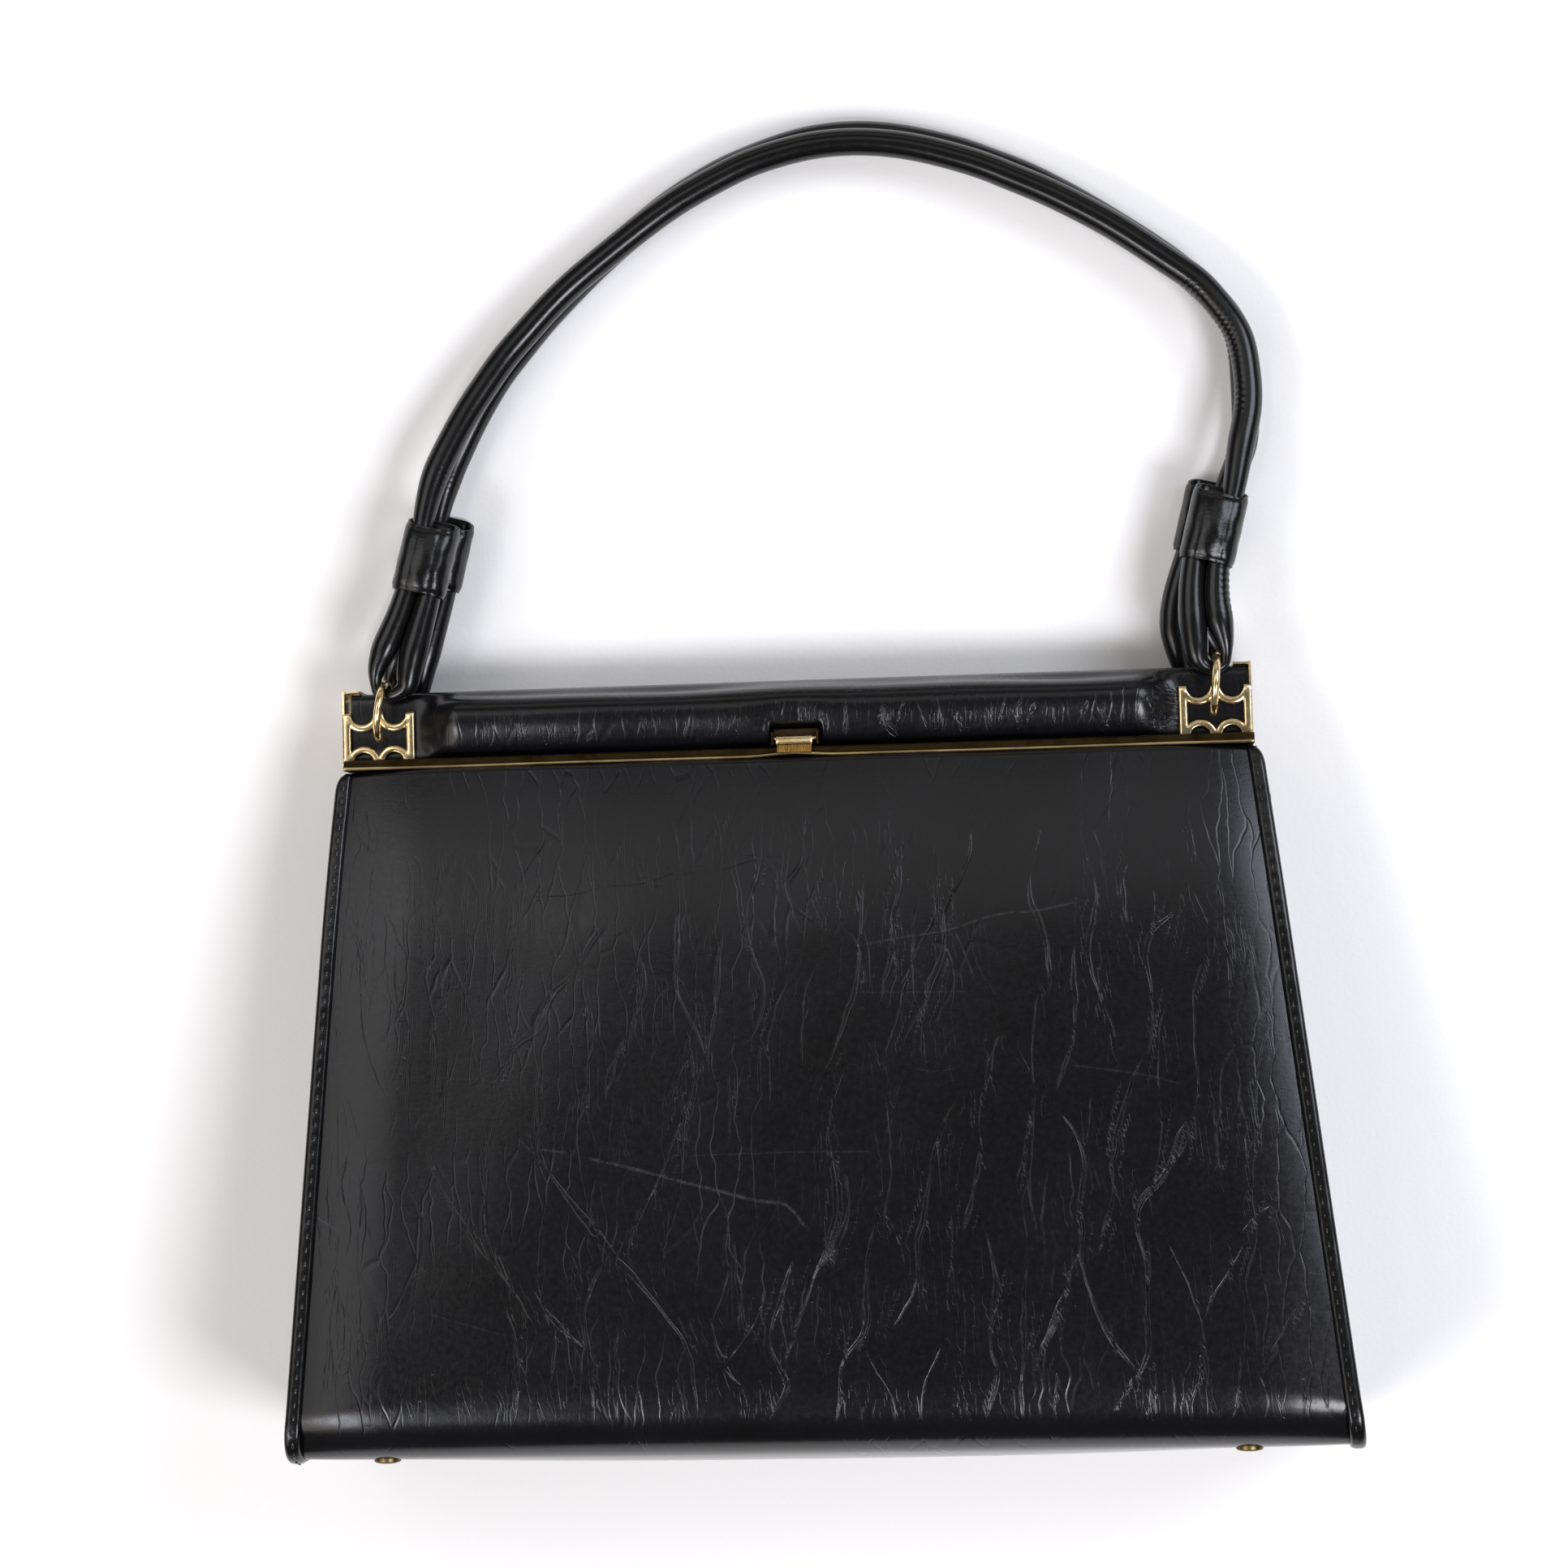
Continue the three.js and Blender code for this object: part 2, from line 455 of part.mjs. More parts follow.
// Keepers: a flat-round band of leather round both legs of a loop.
for (const name of Object.keys(ENDS)) {
  const { b, t, along, wide } = keeperFrame(name);
  const { halfWidth: w, halfThick: r, wall } = KEEPER;
  const stadium = (path, r0) => {
    path.absarc(w - r, 0, r0, -Math.PI / 2, Math.PI / 2, false);
    path.absarc(r - w, 0, r0, Math.PI / 2, (3 * Math.PI) / 2, false);
    path.closePath();
    return path;
  };
  const band = stadium(new THREE.Shape(), r);
  band.holes.push(stadium(new THREE.Path(), r - wall));
  const geometry = new THREE.ExtrudeGeometry(band, { depth: b.distanceTo(t), bevelEnabled: false, curveSegments: 5 });
  const keeper = add(group, `keeper_${name}`, geometry, TRIM_LOOK);
  keeper.quaternion.setFromRotationMatrix(new THREE.Matrix4().makeBasis(wide, along.clone().cross(wide), along));
  keeper.position.copy(b);
}

export default group;
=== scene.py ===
# %% [markdown]
# # A leather frame handbag, lying on its back
# The solids of this bag are already packed: they say where every piece is and what moves. This lesson
# lays finer surfaces over them: creased leather, rolled handles, stitches and worn gold metal.
# Every length below is in millimetres until a mesh is made, because a bag maker thinks in millimetres.

import math

import bmesh
import bpy
import numpy as np
from mathutils import Matrix, Vector


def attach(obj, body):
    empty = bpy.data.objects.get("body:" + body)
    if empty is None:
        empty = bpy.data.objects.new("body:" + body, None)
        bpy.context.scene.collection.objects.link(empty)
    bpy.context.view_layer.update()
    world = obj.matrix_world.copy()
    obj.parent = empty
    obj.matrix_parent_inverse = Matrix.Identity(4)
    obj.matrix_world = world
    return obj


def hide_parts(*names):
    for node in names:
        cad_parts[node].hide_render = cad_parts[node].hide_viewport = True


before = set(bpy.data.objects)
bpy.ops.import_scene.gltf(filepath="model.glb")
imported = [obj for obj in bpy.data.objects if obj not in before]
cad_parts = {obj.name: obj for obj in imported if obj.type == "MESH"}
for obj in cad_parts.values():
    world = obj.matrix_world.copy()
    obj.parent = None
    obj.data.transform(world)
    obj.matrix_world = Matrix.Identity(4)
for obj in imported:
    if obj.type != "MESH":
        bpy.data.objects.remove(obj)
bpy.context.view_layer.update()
MM = 0.001

# %% [markdown]
# ## Camera
# The bag is seen from almost straight above, about a metre away, through a short telephoto lens. The
# three rows are the camera's own axes: to its right, up, and back towards the viewer.

# %% Camera
EYE = (78.09, 135.23, 1023.23)
EYE_AXES = (
    (0.995845, -0.034558, -0.084254),
    (0.030947, 0.998561, -0.043793),
    (0.085646, 0.041003, 0.995482),
)
camera = bpy.data.objects.new("camera", bpy.data.cameras.new("camera"))
camera.data.sensor_width = 36
camera.data.lens = 79.65
camera.data.clip_start = 0.02
camera.data.clip_end = 50
camera.matrix_world = Matrix.Translation(Vector(EYE) * MM) @ Matrix(EYE_AXES).transposed().to_4x4()
bpy.context.scene.collection.objects.link(camera)
bpy.context.scene.camera = camera
print("camera height", round(EYE[2]), "mm")

# %% [markdown]
# ## Helpers for meshes
# A piece is a grid of points: one parameter runs along it, the other across or round it. numpy works out
# all points at once, and the faces of a grid are the same arithmetic on row and column numbers.


# %% Grids, closed skins and finished pieces
def grid(rows, cols, closed_rows=False, closed_cols=False, start=0):
    """Quads between neighbouring points of a rows by cols grid, joined round where a direction is closed."""
    i = np.arange(rows if closed_rows else rows - 1)[:, None]
    j = np.arange(cols if closed_cols else cols - 1)[None, :]
    below, right = (i + 1) % rows, (j + 1) % cols
    corners = [i * cols + j, i * cols + right, below * cols + right, below * cols + j]
    return np.stack(np.broadcast_arrays(*corners), -1).reshape(-1, 4) + start


def tube_skin(points):
    """Points (rows, cols, 3) of a tube, closed round its columns, each end capped with a middle point."""
    rows, cols = points.shape[:2]
    caps = np.stack([points[0].mean(0), points[-1].mean(0)])
    ring = np.arange(cols)
    following = (ring + 1) % cols
    first = np.stack([following, ring, np.full(cols, rows * cols)], -1)
    last = (rows - 1) * cols
    second = np.stack([last + ring, last + following, np.full(cols, rows * cols + 1)], -1)
    return np.concatenate([points.reshape(-1, 3), caps]), [grid(rows, cols, closed_cols=True), first, second]


def zip_rim(fine, coarse, kept):
    """Triangles between a fine rim and a coarse rim whose points lie at the kept places of the fine one."""
    step = np.arange(len(fine) - 1)
    place = np.searchsorted(kept, step, side="right") - 1
    fans = np.stack([fine[step], fine[step + 1], coarse[place]], -1)
    links = np.stack([coarse[:-1], fine[kept[1:]], coarse[1:]], -1)
    return np.concatenate([fans, links])


def sheet_skin(outer, inner, row_step, col_step):
    """A closed leather sheet: fine outer grid, coarse inner grid, and their four rims zipped together."""
    rows, cols = outer.shape[:2]
    kept_r = np.unique(np.append(np.arange(0, rows, row_step), rows - 1))
    kept_c = np.unique(np.append(np.arange(0, cols, col_step), cols - 1))
    back = inner[np.ix_(kept_r, kept_c)]
    count = rows * cols
    fine = np.arange(count).reshape(rows, cols)
    coarse = count + np.arange(back.shape[0] * back.shape[1]).reshape(back.shape[:2])
    rims = [
        zip_rim(fine[0], coarse[0], kept_c),
        zip_rim(fine[-1], coarse[-1], kept_c),
        zip_rim(fine[:, 0], coarse[:, 0], kept_r),
        zip_rim(fine[:, -1], coarse[:, -1], kept_r),
    ]
    points = np.concatenate([outer.reshape(-1, 3), back.reshape(-1, 3)])
    return points, [grid(rows, cols), grid(*back.shape[:2], start=count), np.concatenate(rims)]


def merge(shells):
    """Several (points, faces) shells as one."""
    points, faces, start = [], [], 0
    for shell_points, shell_faces in shells:
        points.append(shell_points)
        faces.extend(part + start for part in shell_faces)
        start += len(shell_points)
    return np.concatenate(points), faces


def put(name, shell, finish, stands_for=(), body="bag", marks=None, sharp=None):
    """Makes a piece from points in millimetres, turns its faces outwards and rides it on a body."""
    points, faces = shell
    mesh = bpy.data.meshes.new(name)
    mesh.vertices.add(len(points))
    mesh.vertices.foreach_set("co", (points * MM).astype(np.float32).ravel())
    sizes = np.concatenate([np.full(len(part), part.shape[1]) for part in faces])
    mesh.loops.add(int(sizes.sum()))
    mesh.loops.foreach_set("vertex_index", np.concatenate([part.ravel() for part in faces]).astype(np.int32))
    mesh.polygons.add(len(sizes))
    mesh.polygons.foreach_set("loop_start", (np.cumsum(sizes) - sizes).astype(np.int32))
    mesh.polygons.foreach_set("use_smooth", np.ones(len(sizes), bool))
    mesh.update(calc_edges=True)
    for key, values in (marks or {}).items():
        full = np.zeros(len(points), np.float32)
        full[: values.size] = values.ravel()
        mesh.attributes.new(key, "FLOAT", "POINT").data.foreach_set("value", full)
    editable = bmesh.new()
    editable.from_mesh(mesh)
    bmesh.ops.recalc_face_normals(editable, faces=editable.faces)
    editable.to_mesh(mesh)
    editable.free()
    if sharp:
        mesh.set_sharp_from_angle(angle=math.radians(sharp))
    mesh.materials.append(finish)
    piece = bpy.data.objects.new(name, mesh)
    bpy.context.scene.collection.objects.link(piece)
    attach(piece, body)
    if stands_for:
        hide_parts(*stands_for)
    print(f"{name}: {int((sizes - 2).sum())} triangles")
    return piece


# %% [markdown]
# ## Helpers for curves
# Creases, handles and rolls all follow smooth lines through a few measured points. A cubic spline over the
# chord length passes through every point without kinks.


# %% Splines and smooth steps
def spline(points, count=None, at=None, closed=False):
    """Natural cubic spline by chord length, at count even places or at given shares of its length."""
    points = np.asarray(points, float)
    if closed:
        points = np.concatenate([points[-4:], points, points[:5]])
    chord = np.concatenate([[0], np.cumsum(np.linalg.norm(np.diff(points, axis=0), axis=1))])
    gap = np.diff(chord)
    n = len(points)
    system = np.eye(n)
    inside = np.arange(1, n - 1)
    system[inside, inside - 1] = gap[:-1]
    system[inside, inside] = 2 * (gap[:-1] + gap[1:])
    system[inside, inside + 1] = gap[1:]
    slope = np.diff(points, axis=0) / gap[:, None]
    load = np.zeros_like(points)
    load[1:-1] = 6 * np.diff(slope, axis=0)
    bend = np.linalg.solve(system, load)
    lo, hi = (chord[4], chord[-5]) if closed else (chord[0], chord[-1])
    share = np.linspace(0, 1, count, endpoint=not closed) if at is None else np.asarray(at)
    s = lo + share * (hi - lo)
    k = np.clip(np.searchsorted(chord, s, side="right") - 1, 0, n - 2)
    a, b = (chord[k + 1] - s)[:, None], (s - chord[k])[:, None]
    g = gap[k][:, None]
    curved = (bend[k] * a**3 + bend[k + 1] * b**3) / (6 * g)
    straight = (points[k] / g - bend[k] * g / 6) * a + (points[k + 1] / g - bend[k + 1] * g / 6) * b
    return curved + straight


def ease(value, low, high):
    """0 below low, 1 above high, and a smooth cubic step between them."""
    t = np.clip((value - low) / (high - low), 0, 1)
    return t * t * (3 - 2 * t)


def unit(vectors):
    """Vectors divided by their lengths."""
    return vectors / np.maximum(np.linalg.norm(vectors, axis=-1, keepdims=True), 1e-9)


def bell(value, width):
    """A bump of height 1 that falls off as exp(-(value/width)^2)."""
    return np.exp(-((value / width) ** 2))


def turn(count):
    """Even angles once round, without the last one, which is the first again."""
    return np.linspace(0, 2 * np.pi, count, endpoint=False)


# %% [markdown]
# ## Finishes
# Each finish starts from the real material. The leather is smooth black calf with years of handling: fine
# creases catch light along their lips, and the colour is never one flat black. The metal is gilt brass whose
# thin gold has dulled and worn. Patterns are sized in millimetres, and Object coordinates are in metres, so
# one division turns a size into a texture scale.


# %% Colours and nodes
def colour(code):
    """sRGB hex to linear RGBA."""
    part = [int(code[i : i + 2], 16) / 255 for i in (0, 2, 4)]
    return tuple(c / 12.92 if c <= 0.04045 else ((c + 0.055) / 1.055) ** 2.4 for c in part) + (1.0,)


def per_mm(size):
    """Texture scale for features of this size in millimetres."""
    return 1000.0 / size


def add(tree, kind, inputs=None, **settings):
    """Adds a node, sets its properties, and fills its sockets with values or links."""
    made = tree.nodes.new("ShaderNode" + kind)
    for key, value in settings.items():
        setattr(made, key, value)
    for key, value in (inputs or {}).items():
        if isinstance(value, bpy.types.NodeSocket):
            tree.links.new(value, made.inputs[key])
        else:
            made.inputs[key].default_value = value
    return made


def start_finish(name, **sockets):
    """A material whose Principled shader has its constant sockets set directly, and its coordinates."""
    made = bpy.data.materials.new(name)
    made.use_nodes = True
    tree = made.node_tree
    shader = tree.nodes["Principled BSDF"]
    for key, value in sockets.items():
        shader.inputs[key.replace("_", " ")].default_value = value
    place = add(tree, "TexCoord").outputs["Object"]
    return made, tree, shader, place


def calc(tree, operation, *values):
    """One Math node, its sockets filled in order with numbers or links."""
    return add(tree, "Math", dict(enumerate(values)), operation=operation).outputs[0]


def remap(tree, value, low, high, to_low=0.0, to_high=1.0, smooth=False):
    """One Map Range node: low to high becomes to_low to to_high, clamped, as a straight or a smooth step."""
    sockets = {"Value": value, "From Min": low, "From Max": high, "To Min": to_low, "To Max": to_high}
    kind = "SMOOTHSTEP" if smooth else "LINEAR"
    return add(tree, "MapRange", sockets, interpolation_type=kind).outputs[0]


def blend(tree, share, first, second):
    """One colour Mix node; sockets 6 and 7 are its two colours."""
    return add(tree, "Mix", {"Factor": share, 6: first, 7: second}, data_type="RGBA").outputs[2]


def noise(tree, place, size, detail, rough=0.5):
    """One Noise node with features of this size in millimetres."""
    sockets = {"Vector": place, "Scale": per_mm(size), "Detail": detail, "Roughness": rough}
    return add(tree, "TexNoise", sockets).outputs["Fac"]


# %% Leather
def calf_leather(name, dark, light, gloss, grain, creased):
    """Smooth calf: a soft wash of pigment, pores and fine cross grain as relief, and drawn crease lines.

    A crease line is drawn from its distance in millimetres, kept on the mesh: relief = 0.4 * lip - line.
    """
    made, tree, shader, place = start_finish(name, IOR=1.45)
    wash = noise(tree, place, 38, 4.0, 0.6)
    fleck = noise(tree, place, 1.7, 3.0, 0.7)
    last = blend(tree, remap(tree, wash, 0.35, 0.65), colour(dark), colour(light))
    rough = remap(tree, fleck, 0.3, 0.7, *gloss)
    stretch = add(tree, "Mapping", {"Vector": place, "Scale": (1.0, 3.2, 1.0)}).outputs[0]
    cross = noise(tree, stretch, 2.6, 4.0, 0.7)
    # Real pores lie about 0.15 mm apart, too fine for this picture, so they are drawn coarser.
    pores = add(tree, "TexVoronoi", {"Vector": place, "Scale": per_mm(0.75)}, feature="F1")
    height = calc(tree, "MULTIPLY_ADD", pores.outputs["Distance"], 0.3, cross)
    height = calc(tree, "MULTIPLY", height, grain)
    if creased:
        marks = ("off", "twin", "cut", "streak", "rub", "sleek")
        drawn = {key: add(tree, "Attribute", attribute_name=key).outputs["Fac"] for key in marks}
        rough = calc(tree, "MULTIPLY", rough, remap(tree, drawn["sleek"], 0, 1, 1.0, 0.5))
        # The distance to the nearer of two twin lines gives a groove with a raised lip on each side.
        side = calc(tree, "ABSOLUTE", drawn["off"])
        away = calc(tree, "ABSOLUTE", calc(tree, "SUBTRACT", side, drawn["twin"]))
        line = remap(tree, away, 0, 0.22, 1.0, 0.0, smooth=True)
        lip = remap(tree, away, 0.18, 0.5, 0.4, 0.0, smooth=True)
        depth = calc(tree, "MULTIPLY", drawn["cut"], remap(tree, fleck, 0.25, 0.55, 0.7))
        shape = calc(tree, "MULTIPLY", calc(tree, "SUBTRACT", lip, line), depth)
        height = calc(tree, "MULTIPLY_ADD", shape, 0.15, height)
        # Hair lines: the edges of tall, bent cells, only where the wash is light.
        drift = add(tree, "TexNoise", {"Vector": place, "Scale": per_mm(14), "Detail": 2.0}).outputs["Color"]
        sway = {0: drift, 1: (0.007, 0.004, 0.0), 2: place}
        bent = add(tree, "VectorMath", sway, operation="MULTIPLY_ADD").outputs[0]
        cell = (per_mm(5.5), per_mm(26), per_mm(26))
        tall = add(tree, "Mapping", {"Vector": bent, "Scale": cell}).outputs[0]
        web = add(tree, "TexVoronoi", {"Vector": tall, "Scale": 1.0}, feature="DISTANCE_TO_EDGE")
        hair = remap(tree, web.outputs["Distance"], 0, 0.05, -1.0, 0.0)
        height = calc(tree, "MULTIPLY_ADD", hair, remap(tree, wash, 0.42, 0.66, 0.0, 0.07), height)
        # A crease groove gets painted shade: a darker colour and a weaker reflection. A scuff is a pale,
        # broken streak.
        painted_groove_shade = calc(tree, "MULTIPLY", line, depth)
        last = blend(tree, painted_groove_shade, last, colour("040405"))
        tree.links.new(remap(tree, painted_groove_shade, 0, 1, 0.5, 0.04), shader.inputs["Specular IOR Level"])
        band = remap(tree, calc(tree, "ABSOLUTE", drawn["streak"]), 0, 0.6, 1.0, 0.0, smooth=True)
        worn = calc(tree, "MULTIPLY", band, drawn["rub"])
        worn = calc(tree, "MULTIPLY", worn, remap(tree, fleck, 0.36, 0.6, 0.15))
        last = blend(tree, worn, last, colour("3a3c3f"))
    tree.links.new(last, shader.inputs["Base Color"])
    tree.links.new(rough, shader.inputs["Roughness"])
    relief = add(tree, "Bump", {"Height": height, "Strength": 1.0, "Distance": 0.001})
    tree.links.new(relief.outputs[0], shader.inputs["Normal"])
    return made


# The panels are satin and creased, the trim is smoother and glossier, the keepers have a coarser grain.
PANEL = calf_leather("worn black calf", "070709", "0c0b10", (0.2, 0.28), 0.016, True)
TRIM = calf_leather("polished black calf", "070708", "0a0a0b", (0.19, 0.27), 0.014, False)
STRIP = calf_leather("grained black calf strip", "070708", "0b0b0c", (0.18, 0.28), 0.06, False)


# %% Metals and thread
def gilt_brass(name, gold, dull, gloss):
    """Thin gold over brass: metallic, with duller patches, and gloss that varies where it was rubbed."""
    made, tree, shader, place = start_finish(name, Metallic=1.0)
    patch = noise(tree, place, 5, 4.0, 0.65)
    base = blend(tree, remap(tree, patch, 0.45, 0.75), colour(gold), colour(dull))
    # Where a piece marks it, the colour is painted pale gold: a painted highlight.
    highlight_share = add(tree, "Attribute", attribute_name="painted_highlight").outputs["Fac"]
    tree.links.new(blend(tree, highlight_share, base, colour("ecd39a")), shader.inputs["Base Color"])
    rub = noise(tree, place, 1.2, 3.0)
    tree.links.new(remap(tree, rub, 0.3, 0.7, *gloss), shader.inputs["Roughness"])
    relief = add(tree, "Bump", {"Height": patch, "Strength": 0.06, "Distance": 0.0003})
    tree.links.new(relief.outputs[0], shader.inputs["Normal"])
    return made


# Plaques, rings and lip shine pale gold. The rail's face is painted dark as shade under the roll, and its
# bead has a painted highlight. Feet, housing, rivets and the ribbed thumb plate are browner and darker.
GOLD = gilt_brass("gilt brass", "f2dcae", "d8b676", (0.17, 0.28))
# Painted shade: the rail's gilt brass is drawn dark brown where the roll shades it.
SHADED_RAIL_GOLD = gilt_brass("gilt rail with painted shade", "43361f", "291f12", (0.3, 0.42))
STUD_BRASS = gilt_brass("aged brass stud", "70603f", "463a26", (0.3, 0.42))
DARK_METAL = gilt_brass("dark bronzed metal", "4a3c2a", "231b13", (0.28, 0.42))
KNURLED = gilt_brass("knurled brass", "6e5227", "3f2e14", (0.26, 0.38))


def waxed_thread():
    """Black waxed thread: small glints along each stitch, and a mottled black."""
    made, tree, shader, place = start_finish("black waxed thread", Roughness=0.27, IOR=1.6)
    base = blend(tree, noise(tree, place, 0.5, 2.0), colour("0a0a0b"), colour("1a191c"))
    tree.links.new(base, shader.inputs["Base Color"])
    return made


THREAD = waxed_thread()
FINISHES = (PANEL, TRIM, STRIP, GOLD, SHADED_RAIL_GOLD, STUD_BRASS, DARK_METAL, KNURLED, THREAD)
print("finishes:", [finish.name for finish in FINISHES])

# %% [markdown]
# ## The body's shape
# Seen from the side, each panel leans in by six degrees and turns towards its rail near the top. The back
# panel lies flat, so the whole bag is tipped by the same six degrees. x runs across, d out of the middle
# plane and h up from the base. The soft body also lies a little skewed: its top is moved to the left.

# %% Side profile and laying
LEAN = math.radians(6)
BASE_WIDTH, TOP_WIDTH, PANEL_HEIGHT = 300, 265.5, 195
BASE_HALF_DEPTH, TOP_HALF_DEPTH, TURN_IN = 42, 17, 140
BASE_RADIUS, REST_HEIGHT, SKEW = 13, 98, -3.6
BEND_D = BASE_HALF_DEPTH - BASE_RADIUS * math.tan(LEAN) - BASE_RADIUS / math.cos(LEAN)
BEND_TOP = BASE_RADIUS * (1 + math.sin(LEAN))
EDGE_WIDTH, EDGE_THICK, EDGE_INSET = 4.5, 3.4, 3


def lay(x, d, h):
    """Point of the lying bag: the upright (d, h) turned by the lean about the base's back edge."""
    y = h * math.cos(LEAN) + (d + BASE_HALF_DEPTH) * math.sin(LEAN) - REST_HEIGHT
    z = (d + BASE_HALF_DEPTH) * math.cos(LEAN) - h * math.sin(LEAN)
    return np.stack(np.broadcast_arrays(x, y, z), -1)


def sideways(h):
    """How far the lying body is moved to the side at a height."""
    return SKEW * np.clip(h / PANEL_HEIGHT, 0, 1)


def half_width(h):
    """Half the width of the trapezoid at a height."""
    return (BASE_WIDTH + (TOP_WIDTH - BASE_WIDTH) * np.clip(h / PANEL_HEIGHT, 0, 1)) / 2


def panel_depth(h):
    """A straight lean, less the square of how far h is past the turn, so that the panel meets its rail."""
    missing = BASE_HALF_DEPTH - PANEL_HEIGHT * math.tan(LEAN) - TOP_HALF_DEPTH
    past = np.clip((h - TURN_IN) / (PANEL_HEIGHT - TURN_IN), 0, 1)
    return BASE_HALF_DEPTH - h * math.tan(LEAN) - missing * past**2


def side_profile(front_h, bend, base, back_bend, back_h):
    """Points (d, h) from the front top edge, under the base, to the back top edge."""
    front = np.stack([panel_depth(front_h), front_h], -1)
    a = np.linspace(LEAN, -math.pi / 2, bend + 1)[1:]
    low = np.stack([BEND_D + BASE_RADIUS * np.cos(a), BASE_RADIUS + BASE_RADIUS * np.sin(a)], -1)
    flat = np.stack([np.linspace(BEND_D, -BEND_D, base + 1)[1:], np.zeros(base)], -1)
    a = np.linspace(-math.pi / 2, LEAN, back_bend + 1)[1:]
    rise = np.stack([-BEND_D - BASE_RADIUS * np.cos(a), BASE_RADIUS + BASE_RADIUS * np.sin(a)], -1)
    back = np.stack([-panel_depth(back_h), back_h], -1)
    return np.concatenate([front, low, flat, rise, back])
